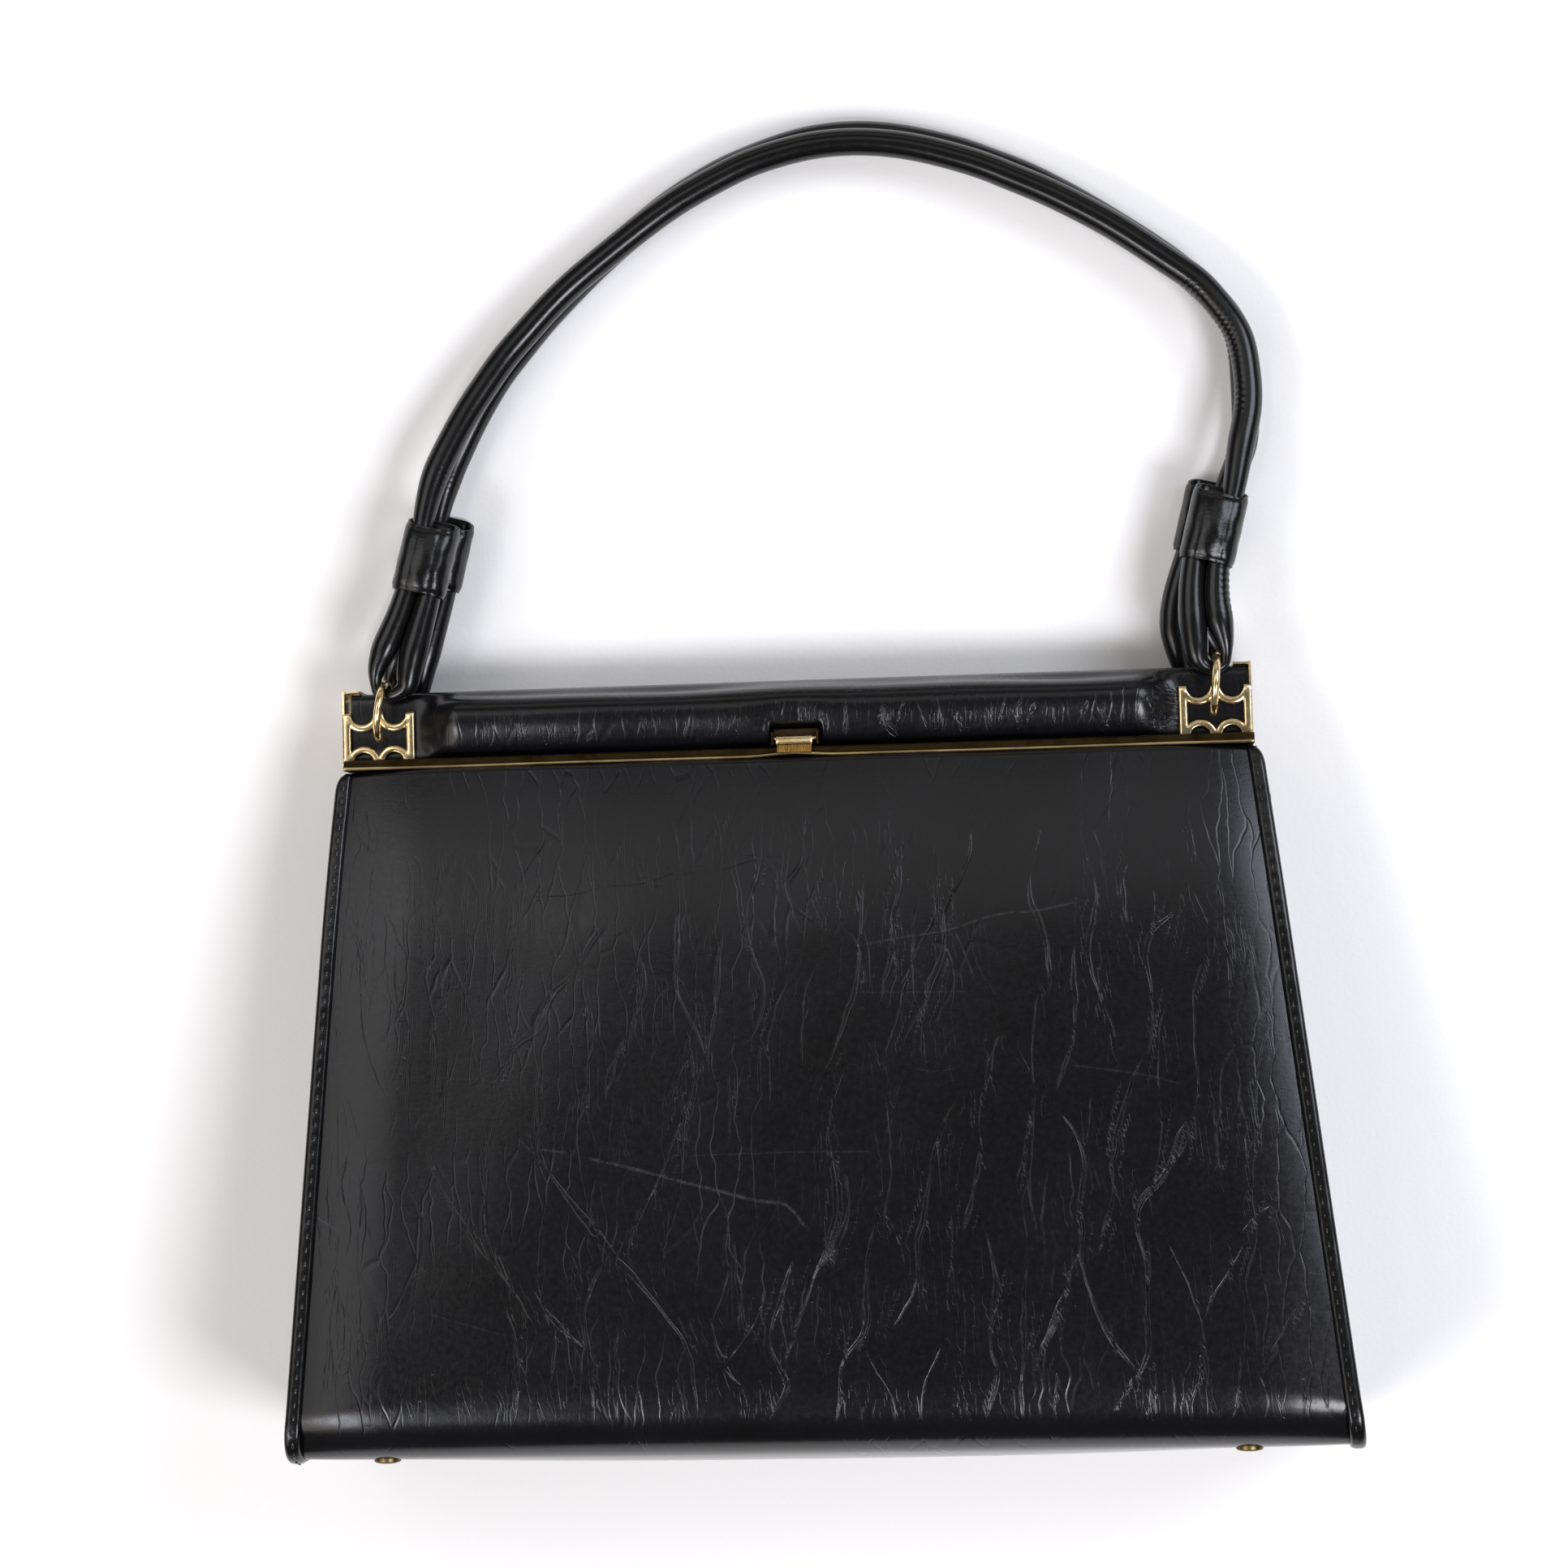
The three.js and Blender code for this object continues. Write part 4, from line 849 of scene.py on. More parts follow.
def gusset(sign, wall):
    """Half width less the fold, with soft upright wrinkles beside the fold; wall moves the face inwards."""
    h = np.linspace(5.3, 194.6, 150)[:, None]
    f = np.linspace(-1, 1, 72)[None, :]
    r = BASE_RADIUS - 5
    low = BEND_D + np.sqrt(np.clip(r**2 - (BASE_RADIUS - h) ** 2, 0, None))
    rim = np.where(h > BASE_RADIUS, panel_depth(h) - 5 / math.cos(LEAN), low)
    fold = FOLD_DEPTH * np.sin(np.pi * np.clip((h - 10) / 156, 0, 1)) ** 1.3
    loose = ease(h, 8, 40) * (1 - ease(h, 165, 190))
    wrinkle = 0.35 * np.sin(h / 6.1 + 3 * f) * np.cos(f * np.pi / 2) * loose
    x = half_width(h) - GUSSET_WALL - fold * np.cos(f * np.pi / 2) ** 2 - wall - np.abs(wrinkle)
    return lay(sideways(h) + sign * x, f * rim, h)


for side, sign in SIDES.items():
    face = gusset(sign, 0)
    flat = np.linalg.norm(np.diff(face, axis=1), axis=-1).sum(1)
    print(f"gusset_{side} laid flat: base {flat[0]:.0f}, widest {flat.max():.0f}, top {flat[-1]:.0f} mm")
    shell = sheet_skin(face, gusset(sign, GUSSET_WALL), 10, 8)
    put(f"gusset_{side}_leather", shell, PANEL, [f"gusset_{side}"])

# %% [markdown]
# ## Rails of the frame
# Each rail is a folded metal strip: a round bead at its lower edge, then a face that leans back under the
# roll. The section is carried along x. The front bead rises a little below the latch.

# %% Rails
RAIL_HALF, RAIL_MIDDLE = 130.5, 196.7
LATCH_X = 0.3
RAIL_LINE = [(0.4, 195.2), (8, 195.2), (16.2, 195.2), (16.8, 195.22), (17.2, 195.4), (17.35, 195.65),
             (17.25, 195.9), (16.95, 196.1), (16.65, 196.3), (16.45, 196.6), (16.25, 197.0),
             (16.05, 197.5), (15.7, 198.0), (15.2, 198.3), (8, 198.3), (0.4, 198.3)]
FACES = {"front": 1, "back": -1}


def rail(face):
    """The section at each x, its bead lifted by a bell below the latch, and a painted highlight along the
    bead.
    """
    section = np.array(RAIL_LINE)
    inside = np.linspace(-RAIL_HALF + 0.4, RAIL_HALF - 0.4, 320)
    x = np.concatenate([[-RAIL_HALF], inside, [RAIL_HALF]])[:, None]
    shrink = 1 - 0.02 * (np.abs(x) > RAIL_HALF - 0.2)
    bead = ease(section[:, 0], 16, 17)[None, :] if face == "front" else np.zeros((1, len(section)))
    bump = 0.8 * bell(x - LATCH_X + 0.6, 7.5) * bead
    wobble = 0.05 * np.sin(x / 13) * bead
    d = section[None, :, 0] * shrink
    h = RAIL_MIDDLE + (section[None, :, 1] - RAIL_MIDDLE) * shrink + bump + wobble
    # The bead's outer edge is painted paler gold: a painted highlight.
    highlight_share = ease(section[:, 0], 16.9, 17.2)[None, :] * (0.8 + 0.2 * np.sin(x / 7.3 + np.sin(x / 3.1)))
    return lay(SKEW + x + 0 * d, FACES[face] * d, h), {"painted_highlight": highlight_share}


for face in FACES:
    points, rail_marks = rail(face)
    shell = tube_skin(points)
    put(f"rail_{face}_metal", shell, SHADED_RAIL_GOLD, [f"rail_{face}"], marks=rail_marks, sharp=50)

# %% [markdown]
# ## Top rolls
# Above each rail runs a stuffed leather roll that flattens to a thin flange under the corner plaques. Two
# sections, the full one and the flat one, are blended along x. The roll's creases slant across it, it
# gathers beside the plaques, and on the front it is tucked in round the latch.

# %% Rolls
PAD_HALF, PAD_FULL_TO, PAD_FLAT_FROM = 129.6, 97, 111
PAD_MIDDLE = [(9.8, 198.6), (12.0, 200.8), (13.9, 204.6), (14.9, 208.6), (14.6, 212), (12.2, 215),
              (8.6, 216.5), (6.4, 217.7), (3.4, 218.3), (1.6, 217.4), (0.8, 215.6), (0.6, 212),
              (0.6, 208), (0.6, 204), (0.6, 201), (0.6, 198.6)]
PAD_END = [(8.5, 198.6), (8.5, 200.4), (8.5, 204), (8.5, 208), (8.5, 212), (8.5, 215.4), (8.2, 217),
           (7.4, 217.9), (6.2, 217.9), (5.3, 217.2), (5, 215.6), (5, 212), (5, 208), (5, 204), (5, 201),
           (5, 198.6)]
ROLL_CREASES = [
    (2, 0.16, -33, 209, -36, 201.5), (1, 0.12, -20.4, 204.5, -19, 200.5),
    (2, 0.14, -61.8, 205, -63.5, 201.5), (1, 0.08, -107.2, 210, -107.5, 204),
    (1, 0.08, -106, 210, -106.4, 203), (2, 0.22, 11.7, 210.2, 10.8, 200.6),
    (2, 0.22, 21.7, 210, 22.5, 204.3, 28, 199), (1, 0.20, 28.3, 211, 25.8, 204.3),
    (1, 0.22, 32, 209.3, 34.6, 202), (1, 0.10, 37.5, 207.7, 37.5, 204), (2, 0.18, 43.3, 207, 44.6, 201),
    (1, 0.12, 47, 206.8, 46.6, 203.5), (1, 0.18, 50.8, 206, 52, 200.6),
    (1, 0.18, 52.9, 209.3, 52.9, 203.5), (1, 0.22, 57, 210.2, 55, 204.3), (2, 0.22, 61.7, 210.2, 60, 203),
    (2, 0.20, 65.2, 208.5, 63.3, 203), (1, 0.20, 70.4, 207, 70.8, 202.5),
    (1, 0.14, 73.3, 205.3, 73, 200.3), (2, 0.24, 80.5, 209, 78, 204), (2, 0.22, 83.3, 207, 87, 200.3),
    (1, 0.16, 95, 208.2, 93.8, 202.8), (1, 0.10, -93, 209, -94, 203), (1, 0.10, -84, 208, -83.4, 202),
    (1, 0.12, -6, 212, -7, 205), (1, 0.12, -2, 212.5, -2.4, 205), (1, 0.12, 1.5, 211, 1, 205),
    (1, 0.14, 4.2, 209, 3.2, 205), (1, 0.14, -11.5, 207, -12.5, 203), (1, 0.12, 90, 206.5, 91, 201),
    (1, 0.10, -48, 207, -49, 202), (1, 0.10, -73, 208, -74.5, 203), (2, 0.24, 96, 210, 99, 206, 103, 202),
    (1, 0.26, 99, 213, 103, 210.5, 107, 209.4), (1, 0.24, 98, 211, 102, 209, 106, 207.8),
    (1, 0.22, 100, 208.5, 104, 206.8, 107, 206.3), (1, 0.22, 98, 203.6, 102, 203, 106, 203.9),
    (1, 0.22, 97, 201.8, 101, 201.2, 105.5, 202), (1, 0.2, 102, 213.6, 105, 211.5, 108, 211),
    (1, 0.12, -98, 216.2, -50, 216.4, 0, 216.1, 50, 216.3, 95, 216),
]


def roll(face, rng):
    """Blended sections along x; the front of the loop is moved by creases, swells and the latch's tuck."""
    x = np.linspace(-PAD_HALF, PAD_HALF, 560)[:, None]
    full = ease(PAD_FLAT_FROM - np.abs(x), 0, PAD_FLAT_FROM - PAD_FULL_TO)[..., None]
    middle = spline(PAD_MIDDLE, 64, closed=True)
    flat = spline(PAD_END, 64, closed=True)
    section = flat + (middle - flat) * full
    d, h = section[..., 0], section[..., 1]
    around = unit(np.gradient(section, axis=1))
    out = np.stack([around[..., 1], -around[..., 0]], -1)
    facing = ease(d, 6.5, 9.5) * ease(h, 198.6, 200.5)
    xs = np.broadcast_to(x, d.shape)
    lines = ROLL_CREASES
    if face == "back":
        lines = small_creases(rng, 40, (-95, 95), (206, 212), (4, 9), (0.08, 0.2))
    extra = small_creases(rng, 90, (-102, 102), (203, 213), (2.5, 7), (0.03, 0.07))
    off, cut, twin, soft = crease_fields(xs + SKEW, np.where(d > 5, h, NOWHERE), lines + extra, rng)
    swell = (0.35 * np.sin(xs / 21 + 0.8) + 0.2 * np.sin(xs / 9 + 2)) * facing * full[..., 0]
    move = 1.3 * soft * facing + swell
    d = d + out[..., 0] * move
    h = h + out[..., 1] * move
    if face == "front":
        inside = ease(7.5 - np.abs(xs - LATCH_X), 0, 0.5) * (1 - ease(h, 204.0, 204.7))
        d = d - np.maximum(d - 9.0, 0) * inside
        d = d - 0.9 * bell(xs - LATCH_X, 9) * bell(h - 207, 4) * facing
        cut = cut * (1 - inside)
    return lay(SKEW + xs, FACES[face] * d, h), {"off": off, "cut": cut, "twin": twin}


for seed, face in enumerate(FACES):
    points, roll_marks = roll(face, np.random.default_rng(20 + seed))
    shell = tube_skin(points)
    piece = put(f"pad_{face}_roll", shell, PANEL, [f"pad_{face}"], marks=roll_marks)

# %% [markdown]
# ## Latch
# A thumb latch sits in the middle of the front rail: a dark open housing, and a gold tab that turns on a
# pin. The tab has a rolled lip on top and a darker, knurled thumb plate below. Plates are made as one
# outline in (d, h) carried across x, drawn in a little at both ends.


# %% Latch
def tucked(outline, tuck):
    """An outline in (d, h) at every x, drawn in towards its middle by the share for that x."""
    middle = outline.mean(0)
    drawn = middle + (outline[None] - middle) * tuck[..., None]
    return drawn[..., 0], drawn[..., 1]


def across_plate(outline, x0, x1, steps, shape=None):
    """A closed (d, h) outline carried from x0 to x1; shape may move its points by x."""
    line = np.asarray(outline, float)
    x = np.concatenate([[x0], np.linspace(x0 + 0.15, x1 - 0.15, steps), [x1]])[:, None]
    d, h = tucked(line, np.where((x == x0) | (x == x1), 0.93, 1.0))
    if shape:
        d, h = shape(np.broadcast_to(x, d.shape), d, h)
    return tube_skin(lay(SKEW + LATCH_X + np.broadcast_to(x, d.shape), d, h))


def plate_outline(d0, d1, h0, h1, r=0.2, n=4):
    """Rectangle in (d, h) with rounded corners."""
    a = np.linspace(0, np.pi / 2, n)
    corner = np.stack([np.cos(a), np.sin(a)], -1) * r
    signs = ((1, 1), (-1, 1), (-1, -1), (1, -1))
    spin = [corner[:: sd * sh] * (sd, sh) for sd, sh in signs]
    centre = [(d1 - r, h1 - r), (d0 + r, h1 - r), (d0 + r, h0 + r), (d1 - r, h0 + r)]
    return np.concatenate([np.add(c, s) for c, s in zip(centre, spin)])


OUT = 6.85  # half the width of the housing, 0.3 less than the notch of the roll
housing = [
    across_plate(plate_outline(9.3, 10.1, 198.9, 203.9), -OUT, OUT, 12),
    across_plate(plate_outline(9.3, 15.6, 198.9, 202.6), -OUT, -OUT + 0.8, 4),
    across_plate(plate_outline(9.3, 15.6, 198.9, 202.6), OUT - 0.8, OUT, 4),
]
put("latch_housing_metal", merge(housing), DARK_METAL, ["latch_housing"], sharp=40)

TAB_LIP = np.array([(13.3, 200.2), (14.2, 199.8), (15.6, 199.8), (16.9, 199.3), (17.4, 198.8),
                    (18.0, 198.55), (18.6, 198.6), (19.15, 198.85), (19.2, 199.2), (19.08, 199.8),
                    (18.96, 200.4), (18.8, 200.8), (18.5, 201.0), (17.6, 201.0), (16.4, 200.8),
                    (15.2, 201.0), (14.2, 201.4), (13.4, 201.2)])
TAB_PLATE = [(17.5, 200.0), (17.4, 199.0), (17.3, 198.0), (17.2, 197.2), (17.25, 196.7), (17.5, 196.5),
             (17.85, 196.6), (18.0, 197.2), (18.12, 197.7), (18.25, 198.2), (18.37, 198.7), (18.5, 199.2),
             (18.6, 199.7), (18.6, 200.2)]


def knurl(x, d, h):
    """Fine upright ribs on the front of the thumb plate."""
    face = ease(d - 0.25 * (h - 199.2), 18.2, 18.4) * ease(h, 196.8, 197.1) * (1 - ease(h, 199.2, 199.5))
    return d + 0.10 * np.sin(2 * np.pi * x / 0.62) * face, h


PIN = np.array([14.2, 200.7]) + 0.55 * np.stack([np.cos(turn(12)), np.sin(turn(12))], -1)
tab = merge([across_plate(TAB_LIP, -5.2, 5.2, 16), across_plate(PIN, -6.7, 6.7, 3)])
put("latch_tab_metal", tab, GOLD, ["latch_tab"], body="latch", sharp=45)
plate = across_plate(TAB_PLATE, -4.9, 4.9, 130, knurl)
put("latch_tab_plate", plate, KNURLED, body="latch", sharp=45)

# %% [markdown]
# ## Corner plaques
# Each corner carries a gold plate cut like a pair of facing scallops: two bites in its top edge, two in its
# bottom edge, and an opening whose edge runs parallel to the bites. The outer and the inner outline use the
# same angles about the same centres, so the metal between them is a ribbon, and a bevelled section can be
# carried along it. A short wall and tab wrap round the end of the frame.

# %% Plaques
PLAQUE_H, PLAQUE_T, WALL_TOP = 205.1, 14.6, 219
PLAQUE_AT = {"left": (121.4, 21.2), "right": (120.1, 20.8)}
PLAQUE_D, BAND = 8.8, 2.1
UPPER_BITE, LOWER_BITE, POST = (4.8, 3.4), (4.5, 2.85), 2.5


def plaque_outlines(width):
    """Matched outer and inner outlines in (x, h): bites and their parallels share angles."""
    w, t = width / 2, PLAQUE_T / 2
    post = w - POST

    def bite(cx, cy, r, sign, inner_from, inner_to):
        outer_angle = np.linspace(np.pi, 0, 22) * sign
        inner_angle = np.linspace(inner_from, inner_to, 22) * sign
        both = ((r, outer_angle), (r + BAND, inner_angle))
        return tuple(np.stack([cx + far * np.cos(a), cy + far * np.sin(a)], -1) for far, a in both)

    def reach(r, dx):
        return math.acos(max(-1, min(1, dx / (r + BAND))))

    (lx, lr), (ux, ur) = LOWER_BITE, UPPER_BITE
    low_left = bite(-lx, -t, lr, 1, reach(lr, lx - post), reach(lr, lx))
    low_right = bite(lx, -t, lr, 1, reach(lr, -lx), reach(lr, post - lx))
    up_left = bite(-ux, t, ur, -1, reach(ur, ux - post), reach(ur, ux))
    up_right = bite(ux, t, ur, -1, reach(ur, -ux), reach(ur, post - ux))
    side = np.linspace(0, 1, 12)[1:-1, None]

    low = [np.concatenate(pair) for pair in zip(low_left, low_right)]
    up = [np.concatenate([right[::-1], left[::-1]]) for right, left in zip(up_right, up_left)]
    right_out = np.array([[w, -t]]) + side * [[0, 2 * t]]
    left_out = np.array([[-w, t]]) - side * [[0, 2 * t]]
    right_in = low[1][-1] + side * (up[1][0] - low[1][-1])
    left_in = up[1][-1] + side * (low[1][0] - up[1][-1])
    corner = [np.array([[sx * w, sy * t]]) for sx, sy in ((1, -1), (1, 1), (-1, 1), (-1, -1))]
    outer = [low[0], corner[0], right_out, corner[1], up[0], corner[2], left_out, corner[3]]
    inner = [low[1], low[1][-1:], right_in, up[1][:1], up[1], up[1][-1:], left_in, low[1][:1]]
    return np.concatenate(outer), np.concatenate(inner)


def plaque(face, side):
    """A bevelled ribbon between the two outlines, with end wall, top tab and sill, in its corner."""
    middle_x, width = PLAQUE_AT[side]
    outer, inner = plaque_outlines(width)
    share = np.array([0, 0, 0.05, 0.14, 0.3, 0.5, 0.7, 0.86, 0.95, 1, 1, 0.5])[None, :, None]
    level = np.array([0, 0.75, 0.95, 1.12, 1.2, 1.22, 1.2, 1.12, 0.95, 0.75, 0, 0])[None, :]
    flat = outer[:, None] + (inner - outer)[:, None] * share
    count = len(outer)
    points = np.concatenate([flat, np.broadcast_to(level[..., None], (count, level.shape[1], 1))], -1)
    mirror = -1 if side == "left" else 1
    out = FACES[face]

    def place(p):
        x = SKEW + mirror * (middle_x + p[..., 0])
        return lay(x, out * (PLAQUE_D + p[..., 2]), PLAQUE_H + p[..., 1])

    ribbon = (place(points).reshape(-1, 3), [grid(count, level.shape[1], True, True)])
    end = middle_x + width / 2

    def slab(x0, x1, d0, d1, h0, h1):
        section = plate_outline(d0, d1, h0, h1, 0.15)
        x = np.array([x0, x0 + 0.12, x1 - 0.12, x1])[:, None]
        d, h = tucked(section, np.array([0.97, 1, 1, 0.97])[:, None])
        return tube_skin(lay(SKEW + mirror * (x + 0 * d), out * d, h))

    foot = PLAQUE_H - PLAQUE_T / 2
    wall = slab(end - 0.8, end, 0.5, PLAQUE_D + 1.0, foot, WALL_TOP)
    tab = slab(end - 5, end, 0.5, 8.6, WALL_TOP - 0.7, WALL_TOP)
    sill = slab(end - width, end, PLAQUE_D - 0.2, PLAQUE_D + 1.1, foot - 0.45, foot + 0.1)
    return merge([ribbon, wall, tab, sill])


CORNERS = [(face, side) for face in FACES for side in SIDES]
for face, side in CORNERS:
    name = f"plaque_{face}_{side}"
    put(f"{name}_metal", plaque(face, side), GOLD, [name], sharp=38)

# %% [markdown]
# ## Rings, feet and rivets
# The rings are plain wire: a circle of circles. Feet and rivets are turned shapes: a profile of radius and
# height spun about its axis.

# %% Rings, feet and rivets
RING_D, RING_H, RING_R, WIRE = 9.6, 212.7, 8, 1.1
RING_AT = {
    "front_left": (-119.9, 8), "front_right": (120.1, 5),
    "back_left": (-119.9, 6), "back_right": (120.1, -8),
}
FOOT_X, FOOT_D = {"left": -122.6, "right": 118.4}, 26.5
RIVET_H, RIVET_D = 180.2, 3


def ring(face, side):
    """Wire circle in the (d, h) plane, leaning sideways by its angle."""
    x0, lean = RING_AT[f"{face}_{side}"]
    u, v = turn(96)[:, None], turn(20)[None, :]
    out = RING_R + WIRE * np.cos(v)
    d, rise, x = out * np.cos(u), out * np.sin(u), WIRE * np.sin(v) + 0 * u
    lean = math.radians(lean)
    xr = x * math.cos(lean) + rise * math.sin(lean)
    hr = rise * math.cos(lean) - x * math.sin(lean)
    points = lay(SKEW + x0 + xr, FACES[face] * RING_D + d, RING_H + hr)
    return points.reshape(-1, 3), [grid(96, 20, True, True)]


def turned(profile, steps=48):
    """A profile of (radius, height), both ends on the axis, spun about it: (r cos a, r sin a, height)."""
    profile = np.asarray(profile, float)
    a = turn(steps)[None, :]
    r, z = profile[1:-1, :1], profile[1:-1, 1:]
    body = np.stack([r * np.cos(a), r * np.sin(a), np.broadcast_to(z, (len(r), steps))], -1)
    points, faces = tube_skin(body)
    points[-2:] = [[0, 0, profile[0, 1]], [0, 0, profile[-1, 1]]]
    return points, faces


def dome(radius, height, rim):
    """A short upright rim, then a dome: radius cos a, rim + (height - rim) sin a."""
    a = np.linspace(0, np.pi / 2, 14)
    cap = np.stack([radius * np.cos(a), rim + (height - rim) * np.sin(a)], -1)
    return np.concatenate([[(0, 0), (radius * 0.98, 0), (radius, 0.12)], cap])


for face, side in CORNERS:
    put(f"ring_{face}_{side}_wire", ring(face, side), GOLD, [f"ring_{face}_{side}"])
    points, faces = turned(dome(3.8, 2.75, 1.9))
    shell = lay(FOOT_X[side] + points[:, 0], FACES[face] * FOOT_D + points[:, 1], 1.5 - points[:, 2]), faces
    put(f"foot_{face}_{side}_stud", shell, STUD_BRASS, [f"foot_{face}_{side}"], sharp=40)
for side, sign in SIDES.items():
    points, faces = turned(dome(2.7, 2.2, 0.5))
    x = sideways(RIVET_H) + sign * (half_width(RIVET_H) - 1.3 + points[:, 2])
    shell = lay(x, RIVET_D + points[:, 0], RIVET_H + points[:, 1]), faces
    put(f"rivet_{side}_stud", shell, DARK_METAL, [f"rivet_{side}"], sharp=40)

# %% [markdown]
# ## Handles
# A rolled handle is a round leather tube over a soft core. Each end goes through a keeper, round its ring
# and back into the keeper. The tube is a circle carried along one spline, with its seam kept underneath, and
# wrinkles stand where the tube bends inwards.

# %% Handle path
ENDS = {
    "front_left": dict(belly=(-117.9, 137, 29.3), spread=4.4, wide=1.25,
                       low=(-112.2, 153, 27.4), top=(-107.2, 172.4, 25)),
    "front_right": dict(belly=(114.6, 137, 29.3), spread=3.8, wide=1.0,
                        low=(115.1, 153.9, 27.4), top=(120.2, 173.6, 25)),
    "back_left": dict(belly=(-118.5, 135.5, 6.4), spread=4.3, wide=1.1,
                      low=(-111.4, 155.1, 5.6), top=(-106.5, 173.6, 5.3)),
    "back_right": dict(belly=(110.2, 135, 6.4), spread=4.2, wide=1.4,
                       low=(114, 156.6, 5.6), top=(118.8, 175.5, 5.3)),
}
ARCHES = {
    "front": [(-106.6, 187.1, 22.5), (-102.4, 195.9, 20.8), (-97.3, 205, 19), (-91.1, 214.1, 17.4),
              (-84, 223.2, 15.8), (-75.7, 232.1, 14.6), (-66.4, 241.1, 13.4), (-55.1, 249.9, 12.9),
              (-40.5, 260.3, 12.4), (-24.9, 269.2, 12.2), (-5.1, 276.7, 12), (14.8, 279.2, 12),
              (34.4, 277.1, 12), (53.7, 271.1, 12.1), (72.4, 262.7, 12.3), (91.2, 252.2, 12.6),
              (109.6, 239.1, 13.4), (115.5, 234.5, 13.9), (120.4, 229, 14.6), (126.7, 218.4, 16.2),
              (128.7, 207.6, 18.1), (128.5, 197.8, 20), (126.4, 187.8, 22)],
    "back": [(-106.5, 185.7, 4.6), (-102.1, 195.5, 4.1), (-97, 205.1, 4.1), (-90.6, 214.8, 4.1),
             (-83, 224.2, 4.1), (-74.3, 233.6, 4.1), (-64.8, 242.9, 4.1), (-54.2, 252.1, 4.1),
             (-43, 260.6, 4.1), (-31.7, 268.1, 4.1), (-12.7, 276.9, 4.1), (5.8, 281.7, 4.1),
             (23.9, 282, 4.1), (41.9, 278.2, 4.1), (60.2, 271.4, 4.1), (78.5, 262, 4.1),
             (94.5, 251.7, 4.1), (109.6, 240.7, 4.1), (120.3, 230.5, 4.1), (127.2, 219.3, 4.1),
             (128.4, 207.6, 4.1), (128.6, 197, 4.1), (127.2, 186.2, 4.6)],
}
TUBE = 4.0


def keeper_axes(name):
    """Bottom and top of a keeper, its direction and its wide direction."""
    low, top = (np.array(ENDS[name][k], float) for k in ("low", "top"))
    along = unit(top - low)
    return low, top, along, unit(np.array([along[1], -along[0], 0]))


def looped_end(face, side):
    """Rows (point, radius) from the tail in the keeper, round the ring's wire and up to the keeper's top."""
    name = f"{face}_{side}"
    end = ENDS[name]
    x0, lean = RING_AT[name]
    low, top, along, wide = keeper_axes(name)
    inward = 1 if side == "left" else -1
    eye = lay(SKEW + x0 + RING_R * math.sin(math.radians(lean)), FACES[face] * 11.8, 220.0)
    up = np.array([0, math.cos(LEAN), -math.sin(LEAN)])

    def at(over, rise):
        return eye + np.array([inward * over, 0, 0]) + rise * up

    def belly(s):
        return np.array(end["belly"]) + np.array([s * end["spread"], 0, 0])

    def leg(s, share):
        return low + (top - low) * share + wide * s * 3.3

    k = end["wide"]
    down = [(leg(inward, 0.72), 2.7), (leg(inward, 0.0), 3.4), (belly(inward), 4.1)]
    round_wire = [(at(5.6 * k, 2.5), 3.5), (at(4.9 * k, -0.5), 2.9), (at(2.6 * k, -2.6), 2.0),
                  (at(0, -3), 1.6), (at(-2, -1.9), 1.4), (at(-2.7, 0.6), 1.4), (at(-2.6, 3.2), 2.3)]
    return down + round_wire + [(belly(-inward), 4.1), (leg(-inward, 0.0), 3.5), (leg(-inward, 1.0), 3.1)]


def handle(face):
    """Circle of the row's radius along the spline, wrinkled where the tube bends, with a seam line below."""
    arch = [(np.array(p), TUBE) for p in ARCHES[face]]
    rows = looped_end(face, "left") + arch + looped_end(face, "right")[::-1]
    knots = np.array([p for p, _ in rows])
    chord = np.concatenate([[0], np.cumsum(np.linalg.norm(np.diff(knots, axis=0), axis=1))])
    share = np.linspace(0, 1, 1900)
    path = spline(knots, at=share)
    radius = np.interp(share, chord / chord[-1], [r for _, r in rows])
    radius = np.convolve(np.pad(radius, 8, mode="edge"), np.ones(17) / 17, "valid")
    along = unit(np.gradient(path, axis=0))
    side = unit(np.cross(along, (0, 0, 1.0)))
    above = np.cross(side, along)
    run = share * chord[-1]
    print(f"handle_{face}: {np.linalg.norm(np.diff(path, axis=0), axis=1).sum():.0f} mm along its middle")
    step = np.linalg.norm(np.gradient(path, axis=0), axis=1)
    bend = (np.gradient(along, axis=0) / step[:, None] * side).sum(-1)
    window = np.hanning(43)[1:-1] / np.hanning(43).sum()
    bend = np.convolve(np.pad(bend, 20, mode="edge"), window, "valid")
    a = turn(36)[None, :]
    inside = np.clip(np.cos(a) * np.sign(bend)[:, None], 0, 1) ** 1.3
    free = ease(run, 60, 75) * (1 - ease(run, run[-1] - 75, run[-1] - 60))
    amount = ease(np.abs(bend), 0.010, 0.026)[:, None] * free[:, None]
    scallop = np.abs(np.sin(np.pi * run / 1.9 + 0.5 * np.sin(run / 5)))[:, None] - 0.55
    wavy = 0.06 * np.sin(run / 5.1 + 1.7 * np.sin(run / 13))[:, None] * np.cos(a) * free[:, None]
    seam = -0.25 * bell(np.angle(np.exp(1j * (a + np.pi / 2))), 0.12)
    size = radius[:, None] * (1 + 0.012 * np.sin(run / 17)[:, None]) + 0.36 * amount * inside * scallop
    size = size + wavy + seam * (radius[:, None] > 2.4)
    spoke = np.cos(a)[..., None] * side[:, None] + np.sin(a)[..., None] * above[:, None]
    return path[:, None] + size[..., None] * spoke


for face in FACES:
    put(f"handle_{face}_tube", tube_skin(handle(face)), TRIM, [f"handle_{face}"])

# %% [markdown]
# ## Keepers
# A strip of leather is wrapped round both legs of each loop. Its section is a stadium: two half circles and
# two straight runs. The strip is thin, its edges are soft, and it has slanting wrinkles where it was pulled
# tight.

# %% Keepers
KEEPER_W, KEEPER_T, KEEPER_WALL = 8.0, 4.7, 1.2


